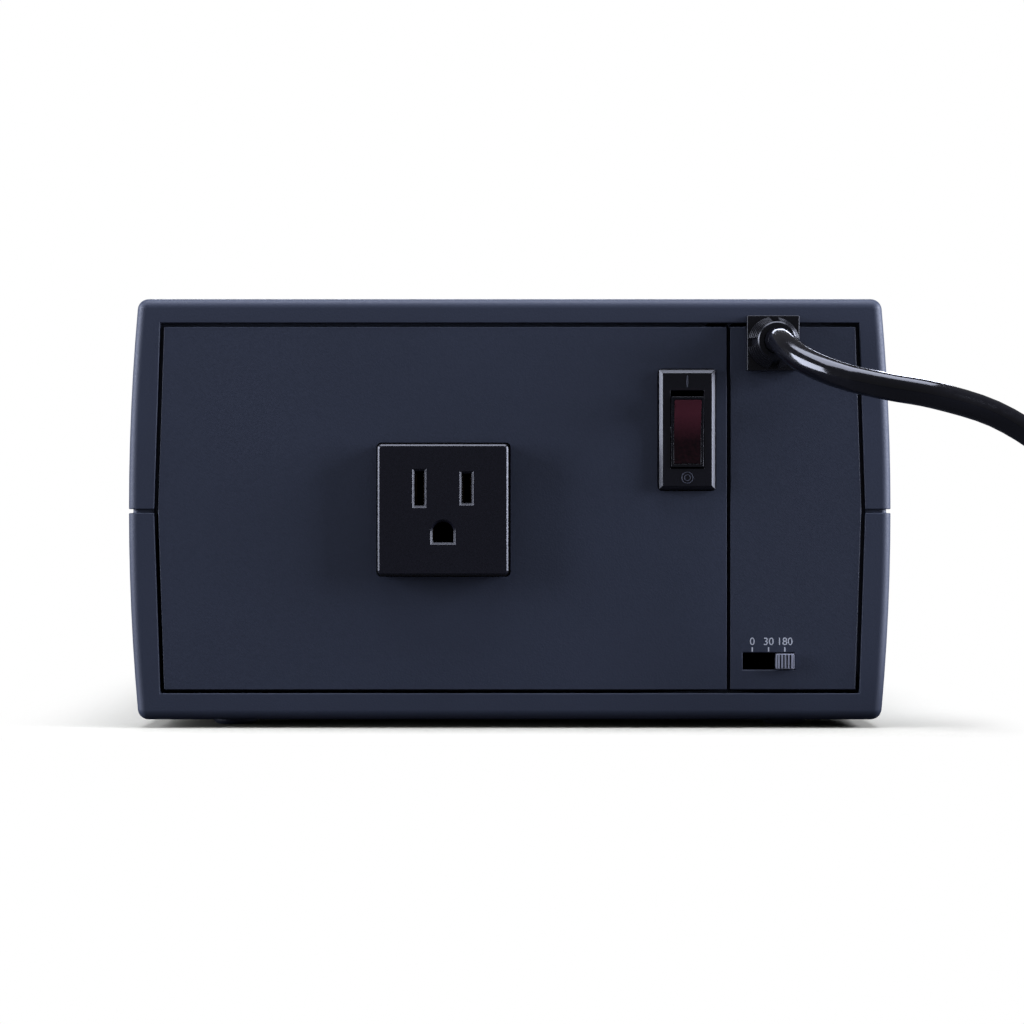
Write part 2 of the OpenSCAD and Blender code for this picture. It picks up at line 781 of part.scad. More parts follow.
// Push button: round cap with a collar behind the panel and a stem to the switch
module power_button() color("#20222b") in_case() translate([button_x, front_y, button_z]) {
    inside = -(flange_y + flange_t);
    bar_y(button_d / 2, [0, inside - play, 0], button_proud - inside + play);
    bar_y(button_d / 2 + collar_t, [0, inside - play - collar_t, 0], collar_t);
    bar_y(2.5, [0, button_stem_y(), 0], inside - play - button_stem_y());
}
function button_stem_y() = display_y + board_t + tact_h + plunger_out - front_y;

// Plunger of the tact switch, which the stem bears on
module button_plunger() color("#15161b") in_case() {
    bar_y(plunger_r, [button_x, display_y + board_t + tact_h - plunger_in, button_z], plunger_in + plunger_out);
}

// Tact switch on the display board
module button_switch() color("#3a3d46") in_case() translate([button_x, display_y + board_t, button_z]) {
    difference() {
        block([-3, 0, -3], [3, tact_h, 3]);
        bar_y(plunger_r + fit, [0, tact_h - plunger_in - button_travel - 2 * fit, 0], tact_h);
    }
}

// Smoked window in front of the status lights
module status_window() color("#14161d") in_case() translate([window_x, front_y, button_z]) {
    block([-window_l / 2, -flange_y - flange_t, -window_h / 2], [window_l / 2, -face_recess, window_h / 2]);
    block([-window_l / 2 - 2, -flange_y - flange_t - 1, -window_h / 2 - 2],
        [window_l / 2 + 2, -flange_y - flange_t, window_h / 2 + 2]);
}

// Round status lights on the display board
module status_lights() color("#9fb59a") in_case() {
    for (i = [-1:1]) translate([window_x + i * 14, display_y + board_t, button_z]) {
        bar_y(1.5, [0, 0, 0], 5);
        translate([0, 5, 0]) sphere(r = 1.5);
    }
}

// Display board behind the front panel
module display_board() color("#1f5a3a") in_case() {
    difference() {
        translate([display_x, display_y + board_t / 2, button_z])
            cube([display_w, board_t, display_h], center = true);
        for (at = display_holes()) bar_y(small_r + 0.2, at - [0, past, 0], 4);
    }
}

// Screws of the display board
module display_screws() color("silver") in_case() {
    for (at = display_holes()) translate(at) rotate([-90, 0, 0]) screw(small_r, 7, small_head_r, 1.6);
}

// Battery case, lid and lead terminals, upright on a foam pad
module battery_case() color("#30343c") in_case() {
    block([battery_x - battery_w / 2, battery_y, battery_low],
        [battery_x + battery_w / 2, battery_y + battery_l, battery_low + battery_h - lid_h]);
}
module battery_lid() color("#3a3f49") in_case() {
    top = battery_low + battery_h;
    difference() {
        block([battery_x - battery_w / 2, battery_y, top - lid_h],
            [battery_x + battery_w / 2, battery_y + battery_l, top]);
        for (side = [-1, 1]) translate([battery_x + side * terminal_x(), terminal_y(), top])
            cube([12, 14, 3], center = true);
        for (i = [0:5]) translate([battery_x, battery_y + 24 + i * 20.6, top])
            cylinder(r = 6, h = 1.2, center = true);
    }
}
function terminal_x() = battery_w / 2 - 9;
function terminal_y() = battery_y + 10;
module battery_terminals() color("#b9bdc4") in_case() {
    for (side = [-1, 1])
        translate([battery_x + side * terminal_x(), terminal_y(), battery_low + battery_h - 1.5]) {
            block([-3.2, -0.4, 0], [3.2, 0.4, 7]);
            block([-3.2, -4, 0], [3.2, 0.4, 0.8]);
        }
}
module battery_pad() color("#2a2a2e") in_case() {
    block([battery_x - battery_w / 2 + 4, battery_y + 4, floor_z],
        [battery_x + battery_w / 2 - 4, battery_y + battery_l - 4, battery_low]);
}

// Steel strap over the battery, screwed to the floor on both sides
module battery_strap() color("#9a9da3") in_case() {
    top = battery_low + battery_h;
    side = battery_w / 2 + fit;
    difference() {
        union() {
            translate([battery_x, strap_y, 0]) {
                block([-side - strap_t, -strap_w / 2, top], [side + strap_t, strap_w / 2, top + strap_t]);
                for (way = [-1, 1]) translate([way * (side + strap_t / 2), 0, (top + floor_z + boss_h) / 2])
                    cube([strap_t, strap_w, top - floor_z - boss_h], center = true);
                for (way = [-1, 1])
                    translate([way * (side + strap_foot / 2), 0, floor_z + boss_h + strap_t / 2])
                        cube([strap_foot, strap_w, strap_t], center = true);
            }
        }
        for (at = strap_holes()) translate([at[0], at[1], floor_z])
            cylinder(r = small_r + 0.2, h = boss_h * 2);
    }
}
function strap_holes() = [for (way = [-1, 1]) [battery_x + way * (battery_w / 2 + strap_t + 5), strap_y]];
module strap_screws() color("silver") in_case() {
    for (at = strap_holes()) translate([at[0], at[1], floor_z + boss_h + strap_t])
        mirror([0, 0, 1]) screw(small_r, 6, small_head_r, 1.6);
}

// Transformer: laminated core with two windows, winding on its middle leg, and a steel bracket
module transformer_core() color("#6b6e75") in_case() translate([core_x, core_y, core_low]) {
    difference() {
        block([-core_t / 2, -core_l / 2, 0], [core_t / 2, core_l / 2, core_h]);
        for (side = [-1, 1]) translate([0, side * core_leg * 1.5, core_h / 2])
            cube([core_t + past, core_leg, core_h - 2 * core_leg], center = true);
    }
}
module transformer_winding() color("#b7893f") in_case() translate([core_x, core_y, core_low + core_h / 2]) {
    h = core_h - 2 * core_leg - 2 * play;
    difference() {
        cube([core_t + 28, 4 * core_leg - 2 * play, h], center = true);
        cube([core_t + 2 * fit, 2 * core_leg + 2 * fit, h + past], center = true);
    }
}
module transformer_bracket() color("#a5a8ad") in_case() translate([core_x, core_y, core_low]) {
    side = core_l / 2 + fit;
    top = core_h + fit;
    difference() {
        union() {
            block([-core_t / 2, -side - bracket_t, top], [core_t / 2, side + bracket_t, top + bracket_t]);
            for (way = [-1, 1]) {
                translate([0, way * (side + bracket_t / 2), top / 2])
                    cube([core_t, bracket_t, top], center = true);
                translate([0, way * (side + bracket_foot / 2), bracket_t / 2])
                    cube([core_t, bracket_foot, bracket_t], center = true);
            }
        }
        for (at = bracket_holes()) translate([at[0] - core_x, at[1] - core_y, -past])
            cylinder(r = small_r + 0.2, h = 5);
    }
}
function bracket_holes() = [
    for (x = [-1, 1], y = [-1, 1]) [core_x + x * (core_t / 2 - 6), core_y + y * (core_l / 2 + fit + 7)]
];
module transformer_screws() color("silver") in_case() {
    for (at = bracket_holes()) translate([at[0], at[1], core_low + bracket_t])
        mirror([0, 0, 1]) screw(small_r, 6, small_head_r, 1.6);
}

// Main board on four posts, and its screws
module main_board() color("#1f5a3a") in_case() {
    difference() {
        block([-board_w / 2, board_y, board_low], [board_w / 2, board_y + board_l, board_top]);
        for (at = board_holes()) translate([at[0], at[1], board_low - past])
            cylinder(r = small_r + 0.2, h = 5);
    }
}
function board_holes() = [
    for (x = [-1, 1], y = [board_edge, board_l - board_edge]) [x * (board_w / 2 - board_edge), board_y + y]
];
module board_screws() color("silver") in_case() {
    for (at = board_holes()) translate([at[0], at[1], board_top])
        mirror([0, 0, 1]) screw(small_r, 7, small_head_r, 1.6);
}

// Places a piece on the main board, from the board's back edge and middle
module on_board(x, y) translate([x, board_y + y, board_top]) children();

// Two finned heatsinks with the power transistors clamped to them
module heatsinks() color("#b0b3b8") in_case() {
    for (at = heatsink_at) on_board(at[0], at[1]) {
        block([-heatsink_l / 2, 0, 0.5], [heatsink_l / 2, 3, heatsink_h]);
        for (i = [0:7]) translate([-heatsink_l / 2 + i * (heatsink_l - 1.5) / 7, 0, 0.5])
            block([0, 2, 0], [1.5, 12, heatsink_h - 0.5]);
        for (x = [-24, 22]) block([x, 0.5, 0], [x + 2, 2.5, 1]);
    }
}
module power_transistors() color("#26272c") in_case() {
    for (at = heatsink_at, i = [-1:1]) on_board(at[0] + i * 17, at[1]) {
        block([-5, -4.5, 6], [5, 0, 21]);
        for (x = [-2.54, 0, 2.54]) block([x - 0.4, -2.5, 0], [x + 0.4, -1.9, 6.5]);
    }
}

// Electrolytic capacitors in a row
module capacitors() color("#2b3d63") in_case() {
    for (i = [0:2]) on_board(-66 + i * 20, 48) cylinder(r = 8, h = 30);
    for (i = [0:1]) on_board(14 + i * 13, 38) cylinder(r = 5, h = 18);
}

// Relays, blade fuses, choke, controller, buzzer and connectors
module relays() color("#1d4f8c") in_case() {
    for (i = [0:2]) on_board(38 + i * 17, 12) block([-7.5, 0, 0], [7.5, 19, 15.5]);
}
module fuses() color("#b5722c") in_case() {
    for (i = [0:1]) on_board(-8 + i * 12, 52) {
        block([-4.5, -10, 0], [4.5, 10, 6]);
        block([-2.5, -9, 6], [2.5, 9, 15]);
    }
}
module choke() color("#7a4b2a") in_case() {
    on_board(64, 50) rotate_extrude() translate([9, 5.5]) circle(r = 5.5);
}
module controller_chip() color("#17181c") in_case() on_board(30, 58) {
    block([-9, -4, 0.6], [9, 4, 4]);
    for (i = [0:6], side = [-1, 1])
        block([-7.9 + i * 2.54, side * 4.4 - 0.4, 0], [-7.3 + i * 2.54, side * 4.4 + 0.4, 2.4]);
}
module buzzer() color("#111216") in_case() on_board(-30, 22) {
    difference() { cylinder(r = 6, h = 9.5); translate([0, 0, 8]) cylinder(r = 1, h = 3); }
}
module board_connectors() color("#e4e2d6") in_case() {
    for (at = connector_at()) on_board(at[0], at[1]) block([-6, -4, 0], [6, 4, 9]);
}
function connector_at() = [[-60, 88], [-12, 88], [-60, 8], [-42, 8], [10, 8], [72, 76]];

// Insulated leads inside the case, each along its own points, with short straight ends
function straight_ends(start, out, points, end) = concat(
    [start + fit * out],
    smooth(concat([start + 2.5 * out], points, [end + [0, 0, 3]]), 3),
    [end + [0, 0, fit]]
);
function terminal_top(side) =
    [battery_x + side * terminal_x(), terminal_y(), battery_low + battery_h + 5.5];
function plug_point(i) = [connector_at()[i][0], board_y + connector_at()[i][1], board_top + 9];
module battery_lead(side, socket) {
    start = terminal_top(side);
    end = plug_point(socket);
    tube(straight_ends(start, [0, 0, 1], [start + [0, -5, 3], [start[0], battery_y - 7, start[2] - 8],
        [(start[0] + end[0]) / 2, battery_y - 9, (start[2] + end[2]) / 2], [end[0], end[1] + 2, end[2] + 18]],
        end), lead_r);
}
module battery_lead_red() color("#a3211f") in_case() battery_lead(-1, 0);
module battery_lead_black() color("#1a1b1f") in_case() battery_lead(1, 1);
module outlet_leads() color("#d8d8d4") in_case() {
    tabs = [[-blade_pitch / 2, blade_z, 2], [blade_pitch / 2, blade_z, 3], [0, -ground_z, 4]];
    for (tab = tabs) {
        start = [outlet_x + tab[0], outlet_depth + 6, outlet_mid + tab[1]];
        end = plug_point(tab[2]);
        tube(straight_ends(start, [0, 1, 0],
            [[(start[0] + end[0]) / 2, end[1] + 2, (start[2] + end[2]) / 2 + 3], end + [0, 0, 9]],
            end), thin_lead_r);
    }
}
module breaker_leads() color("#2a4a8a") in_case() {
    for (z = [-9, 9]) {
        start = [breaker_x, breaker_depth + 8, breaker_mid + z];
        end = plug_point(5) + [z / 3, 0, 0];
        tube(straight_ends(start, [0, 1, 0], [start + [1, 8, 0], start + [10, 30, -8],
            [end[0], end[1] - 8, end[2] + 30], end + [0, 0, 9]], end), thin_lead_r);
    }
}

// Flat cable from the main board's side to the display board
module display_cable() color("#8a8d93") in_case() {
    x = display_x - 24;
    tab = board_y + board_l - 8;
    line = smooth([[x, tab, board_top + fit], [x, tab + 2, board_top + 12], [x + 1, battery_y + 4, 60],
        [x + 1, battery_y + 60, 84], [x, display_y - 20, 90], [x, display_y - 4, button_z + 4],
        [x, display_y - play, button_z]], 3);
    loft([for (i = [0:len(line) - 1]) let (t = along(line, i), up = squared([0, -0.4, 1], t))
        [for (s = [[-3, -0.4], [3, -0.4], [3, 0.4], [-3, 0.4]]) line[i] + [s[0], 0, 0] + s[1] * up]]);
}

// Strain relief: square flange, neck through the panel, inner flange, and a ribbed stub that tapers
module strain_relief() color("#17181e") in_case() translate([relief_x, 0, relief_mid]) {
    base_r = relief_w / 2 - 0.1;
    tip_r = 5.1;
    stub = relief_tip - relief_proud;
    rings = 5;
    difference() {
        union() {
            block([-relief_w / 2, -relief_proud, -relief_h / 2], [relief_w / 2, -fit / 2, relief_h / 2]);
            block([-neck_w() / 2, -fit, -neck_h() / 2], [neck_w() / 2, behind_panel + fit, neck_h() / 2]);
            block([-relief_w / 2, behind_panel, -relief_h / 2], [relief_w / 2, behind_panel + 2, relief_h / 2]);
            translate([0, -relief_proud, 0]) rotate([90, 0, 0]) cylinder(r = tip_r - 0.6, h = stub);
            for (i = [0:rings - 1]) {
                r = base_r + (tip_r - base_r) * i / (rings - 1);
                translate([0, -relief_proud + fit - i * stub / rings, 0]) rotate([90, 0, 0])
                    cylinder(r = r, h = stub / rings * 0.62 + fit);
            }
            translate([0, -relief_tip, 0]) rotate([-90, 0, 0]) cylinder(r = tip_r, h = 1.3);
        }
        bar_y(cord_d / 2, [0, -relief_tip - past, 0], 3 + past);
        bar_y(cord_d / 2, [0, behind_panel - past, 0], 5);
    }
}

// Mains lead: the free stretch, the coil that the rest is wound into, and the stretch to the plug
module power_cord() color("#121318") {
    line = smooth(lead_route, 2);
    tube(concat([lead_route[0] + [0, 2.9, 0]], line), cord_d / 2 - 0.02, 10);
}
module cord_coil() color("#121318") translate(coil_at) rotate_extrude()
    translate([coil_r - coil_half_w, 0]) square([2 * coil_half_w, coil_t]);
module cord_tail() color("#121318") tube(smooth(tail_route, 2), cord_d / 2, 10);

// Strap round the coil's turns
module cord_tie() color("#0e0f13") translate(coil_at + [-coil_r, 0, 0]) {
    half = coil_half_w + 1.5;
    difference() {
        block([-half - tie_t, -8, -tie_t], [half + tie_t, 8, coil_t + tie_t]);
        translate([coil_r, 0, 0]) rotate_extrude() translate([coil_r - half, 0]) square([2 * half, coil_t]);
    }
}

// Grounded plug lying on its side: moulded body with a tapered boot, two blades and a round pin
module plug_body() color("#121318") translate(plug_at) {
    difference() {
        union() {
            rotate([-90, 0, 0]) cylinder(r1 = cord_d / 2 + 1.2, r2 = 8, h = boot_l + 1);
            hull() {
                translate([0, boot_l, 0]) rotate([-90, 0, 0]) cylinder(r = 8, h = 2);
                translate([0, boot_l + plug_l / 2, 0]) cube([plug_w, plug_l / 3, plug_h], center = true);
                translate([0, boot_l + plug_l - 2, 0]) cube([plug_w, 4, plug_h], center = true);
            }
        }
        bar_y(cord_d / 2, [0, -past, 0], 3 + past);
    }
}
module plug_blades() color("#c9ccd2") translate(plug_at + [0, boot_l + plug_l - 4, 0]) {
    for (x = [-1, 1]) block([x * blade_pitch / 2 - 0.75, 0, 2], [x * blade_pitch / 2 + 0.75, 21, 8.3]);
}
module plug_ground_pin() color("#c9ccd2") translate(plug_at + [0, boot_l + plug_l - 4, -6.7]) {
    bar_y(2.4, [0, 0, 0], 22);
    translate([0, 22, 0]) sphere(r = 2.4);
}

lower_cover();
upper_cover();
outlet_panel();
service_panel();
front_panel();
rubber_feet();
foot_screws();
case_screws();
outlet_body();
outlet_contacts();
breaker_body();
breaker_rocker();
rocker_lens();
rocker_pin();
breaker_terminals();
slide_switch_body();
slide_knob();
slide_switch_pins();
power_button();
button_plunger();
button_switch();
status_window();
status_lights();
display_board();
display_screws();
battery_case();
battery_lid();
battery_terminals();
battery_pad();
battery_strap();
strap_screws();
transformer_core();
transformer_winding();
transformer_bracket();
transformer_screws();
main_board();
board_screws();
heatsinks();
power_transistors();
capacitors();
relays();
fuses();
choke();
controller_chip();
buzzer();
board_connectors();
battery_lead_red();
battery_lead_black();
outlet_leads();
breaker_leads();
display_cable();
strain_relief();
power_cord();
cord_coil();
cord_tail();
cord_tie();
plug_body();
plug_blades();
plug_ground_pin();
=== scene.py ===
"""Desktop uninterruptible power supply: a case with an outlet, a breaker, a switch and a lead."""
import math

import bmesh
import bpy
from mathutils import Matrix, Vector


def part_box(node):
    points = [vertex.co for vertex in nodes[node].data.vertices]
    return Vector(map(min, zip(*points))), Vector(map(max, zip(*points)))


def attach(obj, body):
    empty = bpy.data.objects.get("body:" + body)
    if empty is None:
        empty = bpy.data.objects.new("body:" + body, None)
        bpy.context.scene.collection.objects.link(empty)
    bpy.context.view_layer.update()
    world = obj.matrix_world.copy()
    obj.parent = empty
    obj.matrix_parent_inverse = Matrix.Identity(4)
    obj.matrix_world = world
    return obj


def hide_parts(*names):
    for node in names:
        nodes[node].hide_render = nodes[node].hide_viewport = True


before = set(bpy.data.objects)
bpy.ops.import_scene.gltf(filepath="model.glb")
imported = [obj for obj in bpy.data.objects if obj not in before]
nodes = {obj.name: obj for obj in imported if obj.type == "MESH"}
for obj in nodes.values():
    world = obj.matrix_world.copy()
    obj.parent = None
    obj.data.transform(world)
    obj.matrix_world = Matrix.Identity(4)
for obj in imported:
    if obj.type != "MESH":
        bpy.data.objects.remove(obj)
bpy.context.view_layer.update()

# ---------------------------------------------
# The view. The camera stands level and square to the back of the case, three quarters of a metre
# from its rim, with a long lens, as for a product picture.


def placed(name, data):
    """A new object in the scene, made of this data."""
    thing = bpy.data.objects.new(name, data)
    bpy.context.scene.collection.objects.link(thing)
    return thing


camera_data = bpy.data.cameras.new("product_view")
camera_data.sensor_width = 36
camera_data.lens = 98.84
camera = placed("product_view", camera_data)
camera.location = (0.00062, -0.9225, 0.05846)
camera.rotation_euler = (math.radians(90), 0, 0)
bpy.context.scene.camera = camera

# ---------------------------------------------
# Mains lead. A round, glossy black PVC lead of three cores, 7 mm thick. It leaves the strain
# relief to the back, turns to the right and sinks to the table. What isn't needed is wound into a
# coil of five and a quarter turns beside the case, and the last stretch runs on to the plug.

LEAD_RADIUS = 0.0035
lead_start = (0.071, -0.1775, 0.104)
lead_route = [
    lead_start, (0.0717, -0.1835, 0.1031), (0.073, -0.1899, 0.1009), (0.076, -0.1963, 0.0978),
    (0.0811, -0.2024, 0.0948), (0.0864, -0.2061, 0.0927), (0.0898, -0.2078, 0.0917),
    (0.0971, -0.2098, 0.09), (0.108, -0.2098, 0.088), (0.1236, -0.2058, 0.0835),
    (0.1369, -0.2052, 0.0755), (0.1446, -0.207, 0.0674), (0.152, -0.2075, 0.0555),
    (0.1575, -0.2075, 0.042), (0.163, -0.2075, 0.0285), (0.171, -0.2075, 0.0165),
    (0.1815, -0.2075, 0.0085), (0.193, -0.2075, 0.0048), (0.203, -0.2075, 0.0043),
]
tail_route = [
    (0.2415, -0.162, 0.0253), (0.2415, -0.15, 0.026), (0.2415, -0.138, 0.026),
    (0.2415, -0.126, 0.0245), (0.2415, -0.114, 0.0208), (0.2415, -0.103, 0.0166),
    (0.2415, -0.093, 0.0134), (0.2415, -0.084, 0.012),
]
coil_centre = Vector((0.203, -0.162, 0))
inner_turn, outer_turn = 0.0385, 0.0455
layers = [0.0043, 0.0113, 0.0183, 0.0253]
# Radius and height of the winding in its order, and the degrees over which it moves to the next
turns = [
    (outer_turn, layers[0]), (inner_turn, layers[0]), (inner_turn, layers[1]),
    (outer_turn, layers[1]), (outer_turn, layers[2]), (inner_turn, layers[2]),
    (inner_turn, layers[3]),
]
crossings = [(275, 345), (590, 635), (880, 950), (1195, 1240), (1485, 1555), (1800, 1845)]
COIL_END = 1890
COIL_STEP = 6
ROUTE_STEPS = 4


def smooth_line(points):
    """The curve through given points, in a few steps between each two."""
    line, last = [], len(points) - 1
    for i in range(last):
        before, start, end, after = (
            Vector(points[min(max(k, 0), last)]) for k in range(i - 1, i + 3))
        for step in range(ROUTE_STEPS):
            t = step / ROUTE_STEPS
            line.append(
                start
                + t * (end - before) / 2
                + t**2 * (before - 2.5 * start + 2 * end - after / 2)
                + t**3 * (1.5 * (start - end) + (after - before) / 2)
            )
    return line + [Vector(points[last])]


def coil_point(angle):
    """Where the lead is after that many degrees of winding, counted from the coil's near side."""
    radius, height = turns[0]
    for (start, end), (next_radius, next_height) in zip(crossings, turns[1:]):
        t = min(max((angle - start) / (end - start), 0), 1)
        t = t * t * (3 - 2 * t)
        radius += t * (next_radius - radius)
        height += t * (next_height - height)
    a = math.radians(angle - 90)
    return coil_centre + Vector((radius * math.cos(a), radius * math.sin(a), height))


def path_curve(name, paths, closed, **settings):
    """A curve along paths of points, with these settings."""
    curve = bpy.data.curves.new(name, "CURVE")
    for setting, value in settings.items():
        setattr(curve, setting, value)
    for path in paths:
        spline = curve.splines.new("POLY")
        spline.points.add(len(path) - 1)
        for spline_point, place in zip(spline.points, path):
            spline_point.co = (*place, 1)
        spline.use_cyclic_u = closed
        spline.use_smooth = True
    return curve


wound = [coil_point(angle) for angle in range(COIL_STEP, COIL_END, COIL_STEP)]
lead_curve = path_curve(
    "mains_lead", [smooth_line(lead_route) + wound + smooth_line(tail_route)], False,
    dimensions="3D", bevel_depth=LEAD_RADIUS, bevel_resolution=4, use_fill_caps=True)


def feed(node, inputs):
    """Sets a node's inputs. One that is given another node's output is linked to it."""
    for name, value in inputs.items():
        if isinstance(value, bpy.types.NodeSocket):
            node.id_data.links.new(value, node.inputs[name])
        else:
            node.inputs[name].default_value = value


def put(tree, kind, inputs=None, output=0, **settings):
    """Adds a node with these inputs and settings, and gives one of its outputs."""
    node = tree.nodes.new(kind)
    for name, value in settings.items():
        setattr(node, name, value)
    feed(node, inputs or {})
    return node.outputs[output]


def new_finish(name):
    """A new material with its node tree, its shader and the place on the piece that it reads."""
    material = bpy.data.materials.new(name)
    material.use_nodes = True
    tree = material.node_tree
    place = put(tree, "ShaderNodeTexCoord", output="Object")
    return material, tree, tree.nodes["Principled BSDF"], place


def tone(colour, factor=1):
    """A colour made lighter or darker by a factor."""
    return (*(min(1, c * factor) for c in colour), 1)


def between(tree, share, first, second):
    """A colour that goes from one to another with a share."""
    return put(tree, "ShaderNodeMix", {0: share, 6: first, 7: second}, output=2, data_type="RGBA")


def noise(tree, place, scale, detail):
    """An uneven pattern in space, with about that many patches to a metre."""
    return put(tree, "ShaderNodeTexNoise", {"Vector": place, "Scale": scale, "Detail": detail})


def calculated(tree, operation, *values, kind="ShaderNodeMath", output=0):
    """The result of an operation on numbers or, with the other kind of node, on vectors."""
    return put(tree, kind, dict(enumerate(values)), output, operation=operation)


def spread(tree, marks, low, high):
    """The middle of a noise pattern, stretched to go from one number to another."""
    return put(tree, "ShaderNodeMapRange", {
        "Value": marks, "From Min": 0.3, "From Max": 0.7, "To Min": low, "To Max": high})


VECTORS = "ShaderNodeVectorMath"
CLOUD_SCALE = 22
TINT_CHANGE = 0.12


def moulded_finish(name, colour, roughness, grain, depth, gloss_change=0.06, shine=0.5):
    """Plastic or rubber as it comes from the mould: an even colour with faint clouds, and a fine
    grain of that size and depth, in metres, that also makes the gloss uneven."""
    material, tree, shader, place = new_finish(name)
    clouds = noise(tree, place, CLOUD_SCALE, 3)
    pebbles = noise(tree, place, 1 / grain, 2)
    clouded = between(tree, clouds, tone(colour, 1 - TINT_CHANGE), tone(colour, 1 + TINT_CHANGE))
    speckle = spread(tree, pebbles, 1 - TINT_CHANGE / 2, 1 + TINT_CHANGE / 2)
    feed(shader, {
        "Base Color": calculated(tree, "MULTIPLY", clouded, speckle, kind=VECTORS),
        "Roughness": spread(tree, pebbles, roughness - gloss_change, roughness + gloss_change),
        "Normal": put(tree, "ShaderNodeBump", {"Height": pebbles, "Distance": depth}),
        "Specular IOR Level": shine,
    })
    return material


lead = placed("mains_lead", lead_curve)
lead_curve.materials.append(moulded_finish(
    "glossy_black_pvc", (0.0035, 0.0035, 0.005), 0.13, 0.0012, 0.00001, gloss_change=0.03))
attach(lead, "case")
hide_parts("power_cord", "cord_coil", "cord_tail")

# ---------------------------------------------
# Covers. Two matt slate-blue ABS mouldings, a floor half and a roof half, that meet at a groove at
# mid height. Their sides are bowed, and every edge that the mould makes has a small radius.

SHARP_EDGE = math.radians(30)
SHARP_SHADE = math.radians(35)


def shape_of(mesh, merge=0.0):
    """A mesh as a shape to work on, with its points merged that are closer than a distance."""
    shape = bmesh.new()
    shape.from_mesh(mesh)
    if merge:
        bmesh.ops.remove_doubles(shape, verts=shape.verts, dist=merge)
    return shape


def merged_copy(node):
    """A CAD node's shape as one closed skin, with each flat face whole."""
    shape = shape_of(nodes[node].data, merge=2e-6)
    bmesh.ops.dissolve_limit(
        shape, angle_limit=math.radians(0.1), verts=shape.verts, edges=shape.edges)
    return shape


def soften(shape, radius, steps=3, chosen=None):
    """Rounds the shape's sharp edges, or those of them that `chosen` picks by their two ends."""
    edges = [
        edge for edge in shape.edges
        if len(edge.link_faces) == 2
        and edge.calc_face_angle(0) > SHARP_EDGE
        and (chosen is None or chosen(edge.verts[0].co, edge.verts[1].co))
    ]
    bmesh.ops.bevel(
        shape, geom=edges, offset=radius, offset_type="OFFSET", segments=steps, profile=0.5,
        affect="EDGES", clamp_overlap=False, loop_slide=True)


def as_piece(name, shape, finish, body, slot, *replaced):
    """Makes a piece of a shape, with its finish, that rides on a body in place of CAD nodes."""
    mesh = bpy.data.meshes.new(name)
    shape.to_mesh(mesh)
    shape.free()
    if mesh.has_custom_normals:
        mesh.attributes.remove(mesh.attributes["custom_normal"])
    mesh.shade_smooth()
    mesh.set_sharp_from_angle(angle=SHARP_SHADE)
    mesh.materials.clear()
    mesh.materials.append(finish)
    piece = placed(name, mesh)
    piece.modifiers.new("even_shading", "WEIGHTED_NORMAL").keep_sharp = True
    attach(piece, body)
    if replaced:
        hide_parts(*replaced)
    return piece


def softened_piece(name, node, radius, finish, body, slot, steps=3):
    """A piece of a CAD node's own shape, in its place, with its edges rounded."""
    shape = merged_copy(node)
    soften(shape, radius, steps)
    return as_piece(name, shape, finish, body, slot, node)


CASE_COLOUR = (0.0275, 0.0338, 0.0532)
case_finish = moulded_finish("slate_case_plastic", CASE_COLOUR, 0.55, 0.0005, 0.00003, shine=0.36)
for cover in ("lower_cover", "upper_cover"):
    softened_piece(cover + "_moulding", cover, 0.00025, case_finish, "case", "case_plastic")

# ---------------------------------------------
# Back panels. Two flat ABS plates held between the rims and the ribs behind them: a wide one for
# the outlet and the breaker, and a narrow one, very slightly darker, for the switch and the lead.

panel_finish = moulded_finish(
    "slate_panel_plastic", CASE_COLOUR, 0.5, 0.00045, 0.00003, shine=0.4)
service_finish = moulded_finish(
    "slate_service_plastic", tone(CASE_COLOUR, 0.9)[:3], 0.5, 0.00045, 0.00003, shine=0.4)
CORNERS = ((1, 1), (-1, 1), (-1, -1), (1, -1))
PANEL_GAP = 0.00035
GAP_DEPTH = 0.003
GAP_CORNER = 0.0013
OVERCUT = 0.001


def rounded_outline(half_x, half_z, radius, steps=6, first=0):
    """A rectangle with rounded corners about zero, as points of X and Z, from a corner onwards."""
    outline = []
    for corner in range(first, first + 4):
        side, up = CORNERS[corner % 4]
        for step in range(steps + 1):
            a = math.radians(90 * (corner + step / steps))
            outline.append((side * (half_x - radius) + radius * math.cos(a),
                            up * (half_z - radius) + radius * math.sin(a)))
    return outline


def skin(rings, loop=False):
    """A closed skin through rings of points, with its ends capped, or round in a loop."""
    shape = bmesh.new()
    rows = [[shape.verts.new(place) for place in ring] for ring in rings]
    for row, after in zip(rows, rows[1:] + rows[:1] if loop else rows[1:]):
        for i in range(len(row)):
            k = (i + 1) % len(row)
            shape.faces.new((row[i], row[k], after[k], after[i]))
    if not loop:
        shape.faces.new(rows[0])
        shape.faces.new(rows[-1])
    bmesh.ops.recalc_face_normals(shape, faces=shape.faces)
    return shape


def evaluated(*makers):
    """The plain mesh that the first of these objects comes to. All of them are then removed."""
    bpy.context.view_layer.update()
    seen = makers[0].evaluated_get(bpy.context.evaluated_depsgraph_get())
    mesh = bpy.data.meshes.new_from_object(seen)
    for maker in makers:
        bpy.data.objects.remove(maker)
    return mesh


def cut_away(shape, cutters):
    """The shape with other closed shapes taken out of it."""
    made = []
    for part in (shape, *cutters):
        mesh = bpy.data.meshes.new("cut_work")
        part.to_mesh(mesh)
        part.free()
        made.append(placed("cut_work", mesh))
    for cutter in made[1:]:
        cut = made[0].modifiers.new("cut", "BOOLEAN")
        cut.operation, cut.solver, cut.object = "DIFFERENCE", "EXACT", cutter
    return shape_of(evaluated(*made), merge=2e-6)


